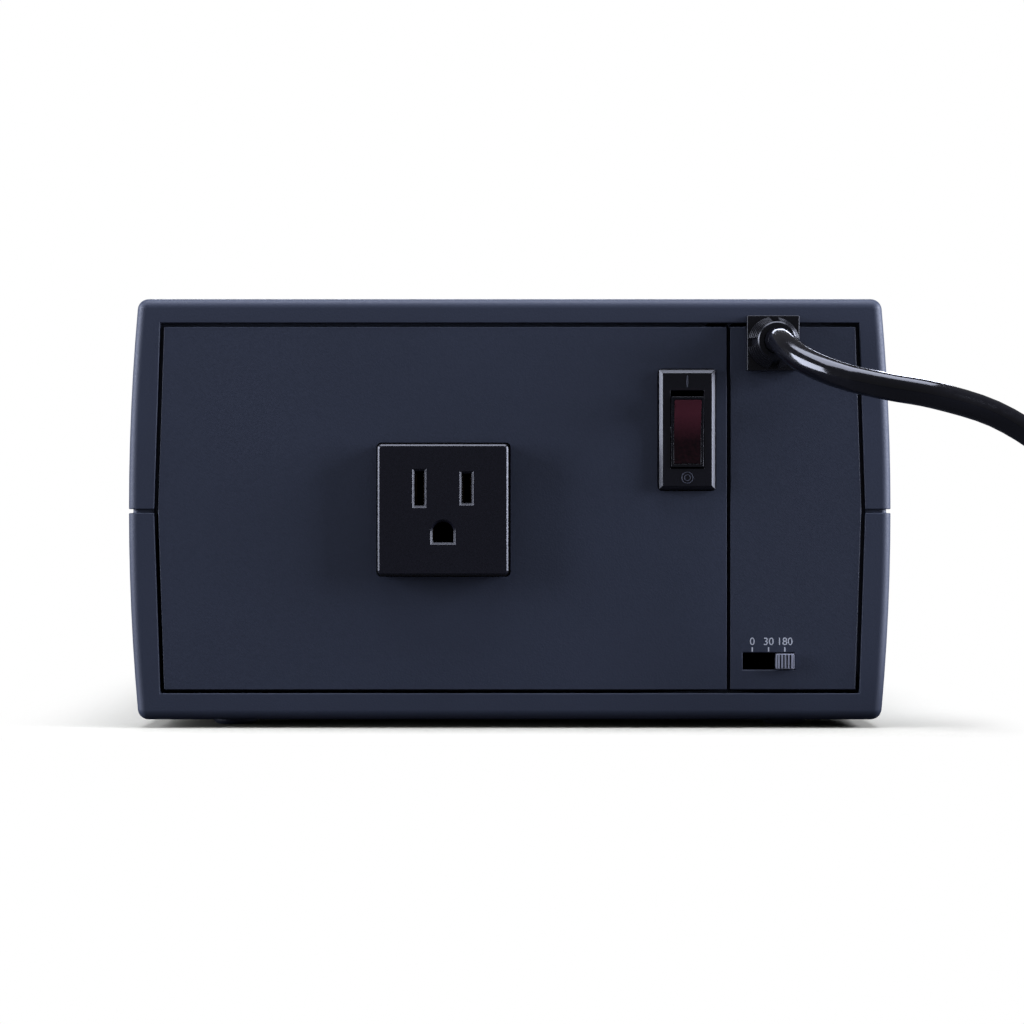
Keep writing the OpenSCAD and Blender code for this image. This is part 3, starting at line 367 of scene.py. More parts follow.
def opening(fitting):
    """A block a little wider than a fitting's face, as deep into the panel as the gap round it."""
    low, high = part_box(fitting)
    middle, half = (low + high) / 2, (high - low) / 2
    panel_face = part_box("outlet_panel")[0].y
    outline = rounded_outline(half.x + PANEL_GAP, half.z + PANEL_GAP, GAP_CORNER)
    return skin([
        [Vector((middle.x + x, y, middle.z + z)) for x, z in outline]
        for y in (panel_face - OVERCUT, panel_face + GAP_DEPTH)])


for panel, finish, slot, fittings in (
    ("outlet_panel", panel_finish, "panel_plastic", ("outlet_body", "breaker_body")),
    ("service_panel", service_finish, "service_plastic", ()),
):
    shape = merged_copy(panel)
    if fittings:
        shape = cut_away(shape, [opening(fitting) for fitting in fittings])
    keep_off = [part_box(fitting) for fitting in fittings]
    soften(shape, 0.0003, chosen=lambda a, b: not any(
        low.x - OVERCUT < end.x < high.x + OVERCUT and low.z - OVERCUT < end.z < high.z + OVERCUT
        for low, high in keep_off for end in (a, b)))
    as_piece(panel + "_plate", shape, finish, "case", slot, panel)

# ---------------------------------------------
# Outlet. A grounded 15 A outlet in one black moulding, with brass contacts behind its face. The two
# blade slots and the ground hole have sloped mouths that guide the pins in.

outlet_low, outlet_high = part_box("outlet_body")
outlet_middle = (outlet_low + outlet_high) / 2
outlet_face = outlet_low.y
outlet_half = (outlet_high.x - outlet_low.x) / 2
PROUD_DEPTH = 0.0065
LEDGE = 0.0003
OUTLET_CHAMFER = 0.00042
MOUTH_SLOPE = 0.0006
PAST = 0.0001
SHAVE = 0.00001
SIDES_FROM = 0.9
# Each blade slot's middle, from the outlet's, then its width and height
blade_slots = [(-0.00635, 0.0057, 0.00255, 0.0093), (0.00635, 0.0057, 0.00255, 0.008)]
ground_radius, ground_drop = 0.0028, 0.006


def on_outlet(outline, depth):
    """An outline about the outlet's middle, that deep behind its face."""
    return [Vector((outlet_middle.x + x, outlet_face + depth, outlet_middle.z + z))
            for x, z in outline]


def slot_ring(slot, grow, depth):
    """A blade slot's outline, grown all round."""
    x, z, width, height = slot
    return on_outlet([
        (x + side * (width / 2 + grow), z + up * (height / 2 + grow)) for side, up in CORNERS
    ], depth)


def ground_ring(grow, depth):
    """The ground hole's outline, round above and flat below, grown all round."""
    radius = ground_radius + grow
    round_side = [math.radians(a) for a in range(0, 181, 12)]
    outline = [(radius * math.cos(a), radius * math.sin(a)) for a in round_side]
    outline += [(-radius, -radius), (radius, -radius)]
    return on_outlet([(x, z - ground_drop) for x, z in outline], depth)


def mouth(ring):
    """The sloped mouth of a hole whose outline comes from `ring(grow, depth)`."""
    return skin([ring(MOUTH_SLOPE + PAST, -PAST), ring(-PAST, MOUTH_SLOPE + PAST)])


# What is cut off round the face: how far inside its edge, the corner's radius, and the depth
slope_end = LEDGE + OUTLET_CHAMFER + PAST
face_edge = skin([
    on_outlet(rounded_outline(outlet_half - inside, outlet_half - inside, radius), depth)
    for inside, radius, depth in (
        (-0.002, 0.002, -OVERCUT), (-0.002, 0.002, PROUD_DEPTH),
        (SHAVE, 0.0013, PROUD_DEPTH), (SHAVE, 0.0013, OUTLET_CHAMFER),
        (LEDGE, 0.0011, OUTLET_CHAMFER), (slope_end, 0.0008, -PAST), (slope_end, 0.0008, -OVERCUT),
    )], loop=True)
outlet_finish = moulded_finish(
    "black_outlet_plastic", (0.005, 0.005, 0.0095), 0.3, 0.0004, 0.000003)
# The side walls and the ledge round the face get a near-black matt finish: painted shade, for the
# dark shadow line round the outlet.
side_shade_finish = moulded_finish(
    "outlet_sides_painted_shade", (0.0012, 0.0012, 0.0018), 0.7, 0.0004, 0.000006, shine=0.15)
shape = cut_away(merged_copy("outlet_body"), [face_edge, mouth(ground_ring)] + [
    mouth(lambda grow, depth, slot=slot: slot_ring(slot, grow, depth)) for slot in blade_slots])
# The faces behind the chamfer near the outlet's edge take the painted shade.
sides = []
for face in shape.faces:
    middle = face.calc_center_median()
    off_middle = max(abs(middle.x - outlet_middle.x), abs(middle.z - outlet_middle.z))
    sides.append(
        middle.y > outlet_face + OUTLET_CHAMFER - SHAVE and off_middle > outlet_half * SIDES_FROM)
outlet = as_piece(
    "outlet_moulding", shape, outlet_finish, "case", "outlet_plastic", "outlet_body")
outlet.data.materials.append(side_shade_finish)
for face, is_side in zip(outlet.data.polygons, sides):
    face.material_index = int(is_side)


def metal_finish(name, colour, roughness, brushed=(1, 1, 1), scratch=900.0, depth=0.000004):
    """Bare or plated metal with fine marks that can run one way, and a gloss that varies."""
    material, tree, shader, place = new_finish(name)
    stretched = put(tree, "ShaderNodeMapping", {"Vector": place, "Scale": brushed})
    marks = noise(tree, stretched, scratch, 4)
    feed(shader, {
        "Base Color": between(tree, marks, tone(colour, 0.8), tone(colour, 1.1)),
        "Roughness": spread(tree, marks, roughness * 0.75, roughness * 1.3),
        "Normal": put(tree, "ShaderNodeBump", {"Height": marks, "Distance": depth}),
        "Metallic": 1.0,
    })
    return material


def dress(finish, *names):
    """Gives CAD nodes that stay as they are their finish."""
    for name in names:
        mesh = nodes[name].data
        mesh.materials.clear()
        mesh.materials.append(finish)


contact_brass = metal_finish("contact_brass", (0.55, 0.36, 0.13), 0.3, brushed=(1, 0.1, 1))
# The outlet's contacts are brass darkened to near black: painted shade, deep inside the slots.
dress(metal_finish("brass_painted_dark_shade", (0.07, 0.048, 0.02), 0.55, brushed=(1, 0.1, 1)),
      "outlet_contacts")

# ---------------------------------------------
# Breaker. A snap-in housing with a bevelled bezel. Its rocker is black with a red lens set in its
# face, and turns on a steel pin. It is off, with its lower end in. The bezel carries the usual bar
# and ring for on and off in thin raised outline.

bezel_finish = moulded_finish(
    "black_breaker_plastic", (0.0038, 0.0038, 0.0068), 0.3, 0.0004, 0.000002, gloss_change=0.03,
    shine=0.45)
softened_piece(
    "breaker_housing", "breaker_body", 0.00012, bezel_finish, "case", "breaker_plastic", steps=2)

MARK_DROP = 0.013
MARK_BEAD = 0.00012
BAR_HALF = (0.00014, 0.0015)
OUTER_RING, INNER_RING = 0.0015, 0.0008


def ring_path(centre, radius_x, radius_z, count):
    """Points round an upright ellipse."""
    turned_by = [math.tau * i / count for i in range(count)]
    return [centre + Vector((radius_x * math.cos(a), 0, radius_z * math.sin(a)))
            for a in turned_by]


breaker_low, breaker_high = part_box("breaker_body")
bezel_middle = (breaker_low + breaker_high) / 2
bezel_middle.y = breaker_low.y
on_mark = bezel_middle + Vector((0, 0, MARK_DROP))
off_mark = bezel_middle - Vector((0, 0, MARK_DROP))
marks = path_curve("breaker_marks", [
    ring_path(on_mark, *BAR_HALF, 32), ring_path(off_mark, OUTER_RING, OUTER_RING, 40),
    ring_path(off_mark, INNER_RING, INNER_RING, 32)], True,
    dimensions="3D", bevel_depth=MARK_BEAD, bevel_resolution=2)
mark_finish = moulded_finish("raised_mark_plastic", (0.05, 0.053, 0.07), 0.35, 0.0004, 0.000004)
as_piece("breaker_marks", shape_of(evaluated(placed("breaker_marks_path", marks))), mark_finish,
         "case", "breaker_plastic")

rocker_finish = moulded_finish(
    "black_rocker_plastic", (0.003, 0.003, 0.0045), 0.28, 0.0006, 0.000001, gloss_change=0.02,
    shine=0.4)
softened_piece(
    "rocker_moulding", "breaker_rocker", 0.00018, rocker_finish, "rocker", "rocker_plastic")

lens_finish, lens_tree, lens_shader, lens_place = new_finish("red_lens_plastic")
lens_low, lens_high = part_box("rocker_lens")
# The lens's red is painted darker towards its lower end, down to near black: painted shade on the
# pressed-in end, deep in the bezel.
lens_painted_shade = put(lens_tree, "ShaderNodeMapRange", {
    "Value": put(lens_tree, "ShaderNodeSeparateXYZ", {"Vector": lens_place}, output="Z"),
    "From Min": lens_low.z + 0.006, "From Max": lens_high.z - 0.002})
lens_mottle = noise(lens_tree, lens_place, 1500, 2)
lens_red = put(lens_tree, "ShaderNodeValToRGB", {
    "Fac": calculated(lens_tree, "MULTIPLY_ADD", lens_mottle, 0.35, lens_painted_shade)})
for stop, position, colour in zip(
    lens_red.node.color_ramp.elements, (0.1, 1.0), ((0.002, 0.0004, 0.0008), (0.078, 0.016, 0.024)),
):
    stop.position = position
    stop.color = tone(colour)
feed(lens_shader, {"Base Color": lens_red, "Roughness": 0.34, "Specular IOR Level": 0.22})
softened_piece(
    "rocker_lens_moulding", "rocker_lens", 0.00012, lens_finish, "rocker", "lens_red")

zinc_steel = metal_finish("zinc_plated_steel", (0.52, 0.53, 0.55), 0.32)
dress(zinc_steel, "rocker_pin")
dress(contact_brass, "breaker_terminals", "slide_switch_pins")

# ---------------------------------------------
# Delay switch. A three-position slide switch screwed behind its opening, with a ribbed knob for a
# fingernail. The ticks and plain numbers of its three places are printed on the panel in pale grey.

dress(moulded_finish("black_switch_plastic", (0.006, 0.006, 0.008), 0.45, 0.0005, 0.000008),
      "slide_switch_body")


def rounded_block(low, high, radius):
    """A block between two corners with its edges rounded, or square where the radius is 0."""
    low, high = Vector(low), Vector(high)
    place = Matrix.Translation((low + high) / 2) @ Matrix.Diagonal((*(high - low), 1))
    shape = bmesh.new()
    bmesh.ops.create_cube(shape, size=1, matrix=place)
    if radius:
        soften(shape, radius)
    return shape


def joined(*shapes):
    """One shape of several closed ones."""
    whole = shapes[0]
    for other in shapes[1:]:
        passed = bpy.data.meshes.new("passed")
        other.to_mesh(passed)
        whole.from_mesh(passed)
        bpy.data.meshes.remove(passed)
        other.free()
    return whole


def new_tree(name, sizes):
    """A Geometry Nodes tree with a named input for each size, and those inputs to build on."""
    tree = bpy.data.node_groups.new(name, "GeometryNodeTree")
    tree.interface.new_socket("Geometry", in_out="OUTPUT", socket_type="NodeSocketGeometry")
    for size, value in sizes.items():
        kind = "NodeSocketInt" if isinstance(value, int) else "NodeSocketFloat"
        tree.interface.new_socket(size, in_out="INPUT", socket_type=kind)
    return tree, tree.nodes.new("NodeGroupInput").outputs


def grown(tree, sizes, instances, finish):
    """The shape that a tree's instances come to at these sizes, in their finish."""
    real = put(tree, "GeometryNodeRealizeInstances", {"Geometry": instances})
    coated = put(tree, "GeometryNodeSetMaterial", {"Geometry": real, "Material": finish})
    tree.links.new(coated, tree.nodes.new("NodeGroupOutput").inputs["Geometry"])
    host = placed("host", bpy.data.meshes.new("host"))
    modifier = host.modifiers.new("grow", "NODES")
    modifier.node_group = tree
    for item in tree.interface.items_tree:
        if item.in_out == "INPUT":
            modifier[item.identifier] = sizes[item.name]
    return shape_of(evaluated(host))


def row_of_ribs(sizes, finish):
    """Upright six-sided ribs, side by side along X."""
    tree, size = new_tree("knob_ribs", sizes)
    row = put(tree, "GeometryNodeMeshLine", {
        "Count": size["Count"], "Offset": put(tree, "ShaderNodeCombineXYZ", {"X": size["Pitch"]})})
    rib = put(tree, "GeometryNodeMeshCylinder", {
        "Vertices": 6, "Radius": 0.5, "Depth": size["Rib Height"]})
    narrow = put(tree, "ShaderNodeCombineXYZ", {
        "X": size["Rib Width"], "Y": size["Rib Width"], "Z": 1.0})
    shaped = put(tree, "GeometryNodeTransform", {"Geometry": rib, "Scale": narrow})
    ribs = put(tree, "GeometryNodeInstanceOnPoints", {"Points": row, "Instance": shaped})
    return grown(tree, sizes, ribs, finish)


knob_low, knob_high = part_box("slide_knob")
knob_middle = (knob_low + knob_high) / 2
panel_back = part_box("slide_switch_body")[0].y
KNOB_RIBS = 5
RIB_MARGIN = 0.0004
RIB_RELIEF = 0.0003
RIB_DEPTH = 0.00032
KNOB_GAP = 0.0003
LEVER_SUNK = 0.0004
LEVER_HALF = (0.0015, 0.0012)
knob_pitch = (knob_high.x - knob_low.x - RIB_MARGIN) / KNOB_RIBS
knob_finish = moulded_finish("grey_knob_plastic", (0.24, 0.248, 0.29), 0.35, 0.0004, 0.000003)
# The floor between the knob's ribs gets a near-black finish: painted shade in the grooves.
groove_shade_finish = moulded_finish(
    "knob_groove_painted_shade", (0.012, 0.012, 0.016), 0.6, 0.0004, 0.000003, shine=0.3)
knob_ribs = row_of_ribs({
    "Count": KNOB_RIBS, "Pitch": knob_pitch, "Rib Width": knob_pitch * 0.55,
    "Rib Height": knob_high.z - knob_low.z - RIB_MARGIN}, knob_finish)
knob_ribs.transform(Matrix.Translation((
    knob_middle.x - knob_pitch * (KNOB_RIBS - 1) / 2, knob_low.y + RIB_DEPTH, knob_middle.z)))
knob = as_piece("knob_moulding", joined(
    rounded_block(
        (knob_low.x, knob_low.y + RIB_RELIEF, knob_low.z),
        (knob_high.x, panel_back - KNOB_GAP, knob_high.z), 0.0002),
    rounded_block(
        (knob_middle.x - LEVER_HALF[0], panel_back - LEVER_SUNK, knob_middle.z - LEVER_HALF[1]),
        (knob_middle.x + LEVER_HALF[0], knob_high.y, knob_middle.z + LEVER_HALF[1]), 0.0001),
    knob_ribs), knob_finish, "knob", "knob_plastic", "slide_knob")
knob.data.materials.append(groove_shade_finish)
# The block's front faces between the ribs take the painted shade.
for face in knob.data.polygons:
    if face.normal.y < -0.99 and abs(face.center.y - knob_low.y - RIB_RELIEF) < SHAVE:
        face.material_index = 1

print_finish = moulded_finish("pale_grey_print", (0.5, 0.52, 0.55), 0.6, 0.0004, 0.000002)
service_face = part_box("service_panel")[0].y
PRINT_DEPTH = 0.00003
DELAY_STEP = 0.0044
TICK_SIZE = (0.00035, 0.0012)
TICK_LOW = 0.00055
DIGIT_LOW = 0.0018
DIGIT_SIZE = 0.0021 * 1.38


def printed_text(text, middle):
    """Plain printed characters on the back of the case, in the middle of a place."""
    curve = bpy.data.curves.new("print_" + text, "FONT")
    curve.body = text
    curve.align_x = "CENTER"
    curve.size = DIGIT_SIZE
    curve.extrude = PRINT_DEPTH
    curve.resolution_u = 6
    shape = shape_of(evaluated(placed("print_" + text, curve)), merge=1e-6)
    shape.transform(Matrix.Translation(middle) @ Matrix.Rotation(math.radians(90), 4, "X"))
    return shape


prints = []
for steps_left, text in ((2, "0"), (1, "30"), (0, "180")):
    x, z = knob_middle.x - steps_left * DELAY_STEP, knob_high.z + TICK_LOW
    prints.append(rounded_block(
        (x - TICK_SIZE[0] / 2, service_face - PRINT_DEPTH, z),
        (x + TICK_SIZE[0] / 2, service_face + PRINT_DEPTH, z + TICK_SIZE[1]), 0))
    prints.append(printed_text(text, Vector((x, service_face, z + DIGIT_LOW))))
as_piece("delay_print", joined(*prints), print_finish, "case", "lead_white")

# ---------------------------------------------
# Strain relief. One soft PVC moulding: a square flange clamped to the panel by a second flange
# behind it, and a short stub that tapers to the lead in five slotted ribs, so that it can bend.

relief_low, relief_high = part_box("strain_relief")
relief_middle = (relief_low + relief_high) / 2
rim_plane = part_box("upper_cover")[0].y
FLANGE_PROUD = 0.004
FLANGE_GAP = 0.00005
NECK_INSET = 0.0014
NECK_SUNK = 0.0002
BACK_FLANGE = 0.002
TIP_RADIUS = 0.0051
TIP_LENGTH = 0.0013
TIP_ROUND = 0.0003
TIP_STEP = 0.0006
CORE_SUNK = 0.0005
RELIEF_RIBS = 5
RIB_THICKNESS = 0.0013
RIB_START = 0.0004
RIB_SUNK = 0.0003
LAST_RIB_PROUD = 0.0003
SLOT_HALF = 0.0012
root_radius = (relief_high.x - relief_low.x) / 2 - 0.0001
flange_face = rim_plane - FLANGE_PROUD
stub_length = flange_face - relief_low.y
stub_place = Matrix.Translation((relief_middle.x, flange_face, relief_middle.z)) @ Matrix.Rotation(
    math.radians(90), 4, "X")


def turned(profile, place, sides=48, closed=False):
    """A shape turned about its own Z from points of height and radius, then put in its place."""
    angles = [math.tau * i / sides for i in range(sides)]
    shape = skin([
        [Vector((radius * math.cos(a), radius * math.sin(a), height)) for a in angles]
        for height, radius in profile], loop=closed)
    shape.transform(place)
    return shape


def slotted_ribs(sizes, finish):
    """Slotted ribs stacked along Z: rings of four arcs that get smaller upwards."""
    tree, size = new_tree("relief_ribs", sizes)
    half_thick = calculated(tree, "MULTIPLY", size["Thickness"], 0.5)
    arc = put(tree, "GeometryNodeCurveArc", {
        "Resolution": 16, "Radius": calculated(tree, "SUBTRACT", size["Radius"], half_thick),
        "Start Angle": calculated(tree, "MULTIPLY", size["Slot Angle"], 0.5),
        "Sweep Angle": calculated(tree, "SUBTRACT", math.tau / 4, size["Slot Angle"])})
    square = put(tree, "GeometryNodeCurvePrimitiveQuadrilateral", {
        "Width": size["Thickness"], "Height": size["Thickness"]})
    rounded = put(tree, "GeometryNodeFilletCurve", {
        "Curve": square, "Count": 3, "Radius": size["Edge"]}, mode="POLY")
    bar = put(tree, "GeometryNodeCurveToMesh", {
        "Curve": arc, "Profile Curve": rounded, "Fill Caps": True})
    number = put(tree, "GeometryNodeInputIndex")
    quarter = calculated(tree, "MULTIPLY", number, math.tau / 4)
    ring = put(tree, "GeometryNodeInstanceOnPoints", {
        "Points": put(tree, "GeometryNodeMeshLine", {"Count": 4, "Offset": (0, 0, 0)}),
        "Instance": bar, "Rotation": put(tree, "ShaderNodeCombineXYZ", {"Z": quarter})})
    stack = put(tree, "GeometryNodeMeshLine", {
        "Count": size["Ribs"],
        "Start Location": put(tree, "ShaderNodeCombineXYZ", {"Z": size["First"]}),
        "Offset": put(tree, "ShaderNodeCombineXYZ", {"Z": size["Pitch"]})})
    share = calculated(tree, "DIVIDE", number, calculated(tree, "SUBTRACT", size["Ribs"], 1.0))
    shrink = put(tree, "ShaderNodeMapRange", {
        "Value": share, "From Min": 0.0, "From Max": 1.0, "To Min": 1.0,
        "To Max": size["Last Scale"]})
    stacked = put(tree, "GeometryNodeInstanceOnPoints", {
        "Points": stack,
        "Instance": put(tree, "GeometryNodeRealizeInstances", {"Geometry": ring}),
        "Scale": put(tree, "ShaderNodeCombineXYZ", {"X": shrink, "Y": shrink, "Z": 1.0})})
    return grown(tree, sizes, stacked, finish)


relief_finish = moulded_finish(
    "black_relief_pvc", (0.003, 0.003, 0.0048), 0.3, 0.0005, 0.000006, shine=0.4)
relief_ribs = slotted_ribs({
    "Ribs": RELIEF_RIBS, "First": RIB_START + RIB_THICKNESS / 2,
    "Pitch": (stub_length - TIP_LENGTH - RIB_START) / RELIEF_RIBS, "Radius": root_radius,
    "Last Scale": (TIP_RADIUS + LAST_RIB_PROUD) / root_radius, "Thickness": RIB_THICKNESS,
    "Slot Angle": 2 * math.asin(SLOT_HALF / root_radius), "Edge": 0.00022}, relief_finish)
relief_ribs.transform(stub_place)
tip_start = stub_length - TIP_LENGTH
core = turned([
    (-CORE_SUNK, LEAD_RADIUS), (-CORE_SUNK, root_radius - RIB_THICKNESS + RIB_SUNK),
    (tip_start, TIP_RADIUS - TIP_STEP), (tip_start, TIP_RADIUS),
    (stub_length - TIP_ROUND, TIP_RADIUS), (stub_length, TIP_RADIUS - TIP_ROUND),
    (stub_length, LEAD_RADIUS)], stub_place, closed=True)
neck = Vector((NECK_INSET, 0, NECK_INSET))
relief = as_piece("strain_relief_moulding", joined(
    rounded_block(
        (relief_low.x, flange_face, relief_low.z),
        (relief_high.x, rim_plane - FLANGE_GAP, relief_high.z), 0.0002),
    rounded_block(
        Vector((relief_low.x, rim_plane - NECK_SUNK, relief_low.z)) + neck,
        Vector((relief_high.x, relief_high.y - BACK_FLANGE / 2, relief_high.z)) - neck, 0.0001),
    rounded_block(
        (relief_low.x, relief_high.y - BACK_FLANGE, relief_low.z), relief_high, 0.0002),
    core, relief_ribs), relief_finish, "case", "relief_plastic", "strain_relief")

# ---------------------------------------------
# Feet and the screws of the case. Four black rubber buttons with a round rim, each screwed up into
# the floor, and four long zinc-plated screws that pull the two covers together from below.

foot_finish = moulded_finish("black_foot_rubber", (0.05, 0.056, 0.082), 0.4, 0.0005, 0.00002)
as_piece("rubber_feet_moulding", merged_copy("rubber_feet"), foot_finish, "case", "foot_rubber",
         "rubber_feet")
for screws in ("foot_screws", "case_screws"):
    softened_piece(screws + "_turned", screws, 0.00012, zinc_steel, "case", "zinc_steel", steps=2)

# ---------------------------------------------
# Front. A plain panel with a round push button, whose face has the usual power mark, and a smoked
# window over three status lights. Behind it are the display board, its tact switch and screws.

softened_piece("front_panel_plate", "front_panel", 0.0003, panel_finish, "case", "panel_plastic")
button_finish = moulded_finish(
    "black_button_plastic", (0.010, 0.011, 0.015), 0.34, 0.0005, 0.000006)
softened_piece(
    "power_button_cap", "power_button", 0.0006, button_finish, "button", "button_plastic", steps=4)

button_low, button_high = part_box("power_button")
button_middle = (button_low + button_high) / 2
mark_depths = (button_high.y - PRINT_DEPTH, button_high.y + PRINT_DEPTH)
MARK_RADIUS = 0.0032
MARK_WIDTH = 0.00045
MARK_OPENING = 38
MARK_STEPS = 40
BAR_SPAN = (0.35, 1.3)
bar_half = MARK_WIDTH / 2
open_ring = []
for i in range(MARK_STEPS + 1):
    a = math.radians(90 + MARK_OPENING + i * (360 - 2 * MARK_OPENING) / MARK_STEPS)
    inner, outer = (
        (button_middle.x + radius * math.cos(a), button_middle.z + radius * math.sin(a))
        for radius in (MARK_RADIUS - bar_half, MARK_RADIUS + bar_half))
    open_ring.append([
        Vector((x, y, z)) for (x, z), y in zip(
            (inner, outer, outer, inner), (mark_depths[1],) * 2 + (mark_depths[0],) * 2)])
power_bar = rounded_block(
    (button_middle.x - bar_half, mark_depths[0], button_middle.z + MARK_RADIUS * BAR_SPAN[0]),
    (button_middle.x + bar_half, mark_depths[1], button_middle.z + MARK_RADIUS * BAR_SPAN[1]), 0)
as_piece("power_mark", joined(skin(open_ring), power_bar), print_finish, "button", "lead_white")

window_finish = moulded_finish(
    "smoked_window_acrylic", (0.010, 0.011, 0.014), 0.08, 0.003, 0.000001, gloss_change=0.02)
feed(window_finish.node_tree.nodes["Principled BSDF"], {"Transmission Weight": 0.45, "IOR": 1.49})
softened_piece(
    "status_window_pane", "status_window", 0.0003, window_finish, "case", "smoked_lens")

dress(moulded_finish("milky_light_lens", (0.42, 0.55, 0.40), 0.22, 0.0008, 0.000003),
      "status_lights")
dress(moulded_finish("black_tact_switch", (0.02, 0.02, 0.024), 0.4, 0.0005, 0.000004),
      "button_switch")
dress(button_finish, "button_plunger")
dress(zinc_steel, "display_screws")


def board_finish(name, colour):
    """Green solder mask over copper tracks, which show as paler, slightly raised lines."""
    material, tree, shader, place = new_finish(name)
    cells = put(tree, "ShaderNodeTexVoronoi", {
        "Vector": place, "Scale": 210.0}, feature="DISTANCE_TO_EDGE")
    tracks = put(tree, "ShaderNodeMapRange", {
        "Value": cells, "From Min": 0.03, "From Max": 0.05, "To Min": 1.0, "To Max": 0.0})
    feed(shader, {
        "Base Color": between(tree, tracks, tone(colour), tone(colour, 1.9)),
        "Normal": put(tree, "ShaderNodeBump", {"Height": tracks, "Distance": 0.00004}),
        "Roughness": 0.28,
    })
    return material


solder_mask = board_finish("green_circuit_board", (0.012, 0.085, 0.04))
dress(solder_mask, "display_board")

# ---------------------------------------------
# Battery. A sealed lead-acid battery in a dark grey ABS case with a welded lid and tinned blade
# terminals. It stands on a foam pad, inside low fences, under a zinc-plated steel strap.

battery_plastic = moulded_finish(
    "dark_grey_battery_abs", (0.045, 0.047, 0.052), 0.5, 0.0008, 0.00002)
dress(battery_plastic, "battery_case", "battery_lid")
dress(metal_finish("tinned_terminal", (0.6, 0.61, 0.62), 0.3), "battery_terminals")
dress(moulded_finish("black_foam_pad", (0.02, 0.02, 0.022), 0.95, 0.0012, 0.0004), "battery_pad")
dress(zinc_steel, "battery_strap", "strap_screws")

# ---------------------------------------------
# Transformer. A stack of silicon-steel laminations with copper coils under amber tape on its middle
# leg, held down by a folded steel bracket.


def striped_finish(name, dark, pale, axis, pitch, roughness, metallic, depth):
    """Thin layers seen on edge, one after another along an axis."""
    material, tree, shader, place = new_finish(name)
    stripes = put(tree, "ShaderNodeTexWave", {
        "Vector": place, "Scale": 1 / pitch / math.tau * 2, "Distortion": 0.4, "Detail": 1.0},
        output="Fac", bands_direction=axis, wave_profile="SIN")
    feed(shader, {
        "Base Color": between(tree, stripes, tone(dark), tone(pale)),
        "Normal": put(tree, "ShaderNodeBump", {"Height": stripes, "Distance": depth}),
        "Roughness": roughness, "Metallic": metallic,
    })
    return material


dress(striped_finish(
    "steel_laminations", (0.12, 0.12, 0.13), (0.3, 0.31, 0.33), "X", 0.0005, 0.45, 0.9, 0.00005),
    "transformer_core")
dress(striped_finish(
    "amber_winding_tape", (0.42, 0.25, 0.06), (0.5, 0.32, 0.09), "Z", 0.012, 0.3, 0.0, 0.0001),
    "transformer_winding")
dress(zinc_steel, "transformer_bracket", "transformer_screws")

# ---------------------------------------------
# Main board. A single-sided circuit board on four posts, with heatsinks and power transistors,
# capacitors, relays, fuses, a choke, the controller, the buzzer and its white connectors.

dress(solder_mask, "main_board")
dress(zinc_steel, "board_screws")
dress(metal_finish("extruded_aluminium", (0.62, 0.63, 0.65), 0.34, brushed=(1, 1, 0.08)),
      "heatsinks")
dress(metal_finish("enamelled_copper", (0.55, 0.2, 0.07), 0.25, scratch=500.0, depth=0.00004),
      "choke")
for name, colour, roughness, grain, depth, dressed in (
    ("black_epoxy", (0.016, 0.016, 0.018), 0.5, 0.0004, 0.000008,
     ("power_transistors", "controller_chip", "buzzer")),
    ("blue_capacitor_sleeve", (0.02, 0.045, 0.16), 0.25, 0.003, 0.00001, ("capacitors",)),
    ("blue_relay_case", (0.012, 0.07, 0.26), 0.35, 0.0008, 0.000008, ("relays",)),
    ("amber_fuse_plastic", (0.42, 0.16, 0.02), 0.25, 0.001, 0.000008, ("fuses",)),
    ("white_connector_nylon", (0.68, 0.66, 0.6), 0.45, 0.0006, 0.000008, ("board_connectors",)),
):
    dress(moulded_finish(name, colour, roughness, grain, depth), *dressed)

# ---------------------------------------------
# Inner leads. Stranded copper in soft PVC: red and black for the battery, white for the outlet,
# blue for the breaker, and a grey ribbon to the display board.

for name, colour, node in (
    ("red", (0.36, 0.012, 0.01), "battery_lead_red"),
    ("black", (0.012, 0.012, 0.014), "battery_lead_black"),
    ("white", (0.6, 0.6, 0.58), "outlet_leads"),
    ("blue", (0.02, 0.07, 0.32), "breaker_leads"),
    ("grey", (0.26, 0.27, 0.28), "display_cable"),
):
    dress(moulded_finish(name + "_lead_pvc", colour, 0.4, 0.001, 0.00001), node)

# ---------------------------------------------
# Tie. A black hook-and-loop strap, 16 mm wide and under a millimetre thick, wrapped round the five
# strands of the coil on the side next to the case, with its end pressed down on its own start.

tie_low, tie_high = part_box("cord_tie")
TIE_THICKNESS = 0.0008
TIE_CORNER = 0.003
TIE_SLACK = 0.0009
EDGE_THINNING = 0.00012 / TIE_THICKNESS
END_GAP = 0.00005
END_SPAN = slice(12, 26)
tie_half = outer_turn - inner_turn + TIE_SLACK
tie_top = layers[2] + LEAD_RADIUS
tie_middle = Vector((
    coil_centre.x - (inner_turn + outer_turn) / 2, (tie_low.y + tie_high.y) / 2,
    (TIE_THICKNESS + tie_top) / 2))
# Across the strap: where a line of points runs, in widths from its middle, and if it is thinned
strap_lines = [(-0.5, 1), (-0.47, 0), (0.47, 0), (0.5, 1)]


def tie_outline(outwards):
    """A rounded rectangle round the coil's strands, a distance outside them."""
    half_z = (tie_top - TIE_THICKNESS) / 2 + outwards
    outline = rounded_outline(tie_half + outwards, half_z, TIE_CORNER + outwards, 8, first=-1)
    return [tie_middle + Vector((x, 0, z)) for x, z in outline]


def strap_shape(inner, outer, ring):
    """A flat strap between two outlines, across the tie's width, closed in a ring or open."""
    sections = []
    for near, far in zip(inner, outer):
        thinned = (far - near) * EDGE_THINNING
        across = [(Vector((0, share * (tie_high.y - tie_low.y), 0)), thinned * thin)
                  for share, thin in strap_lines]
        sections.append(
            [near + aside + inset for aside, inset in across]
            + [far + aside - inset for aside, inset in reversed(across)])
    return skin(sections, loop=ring)


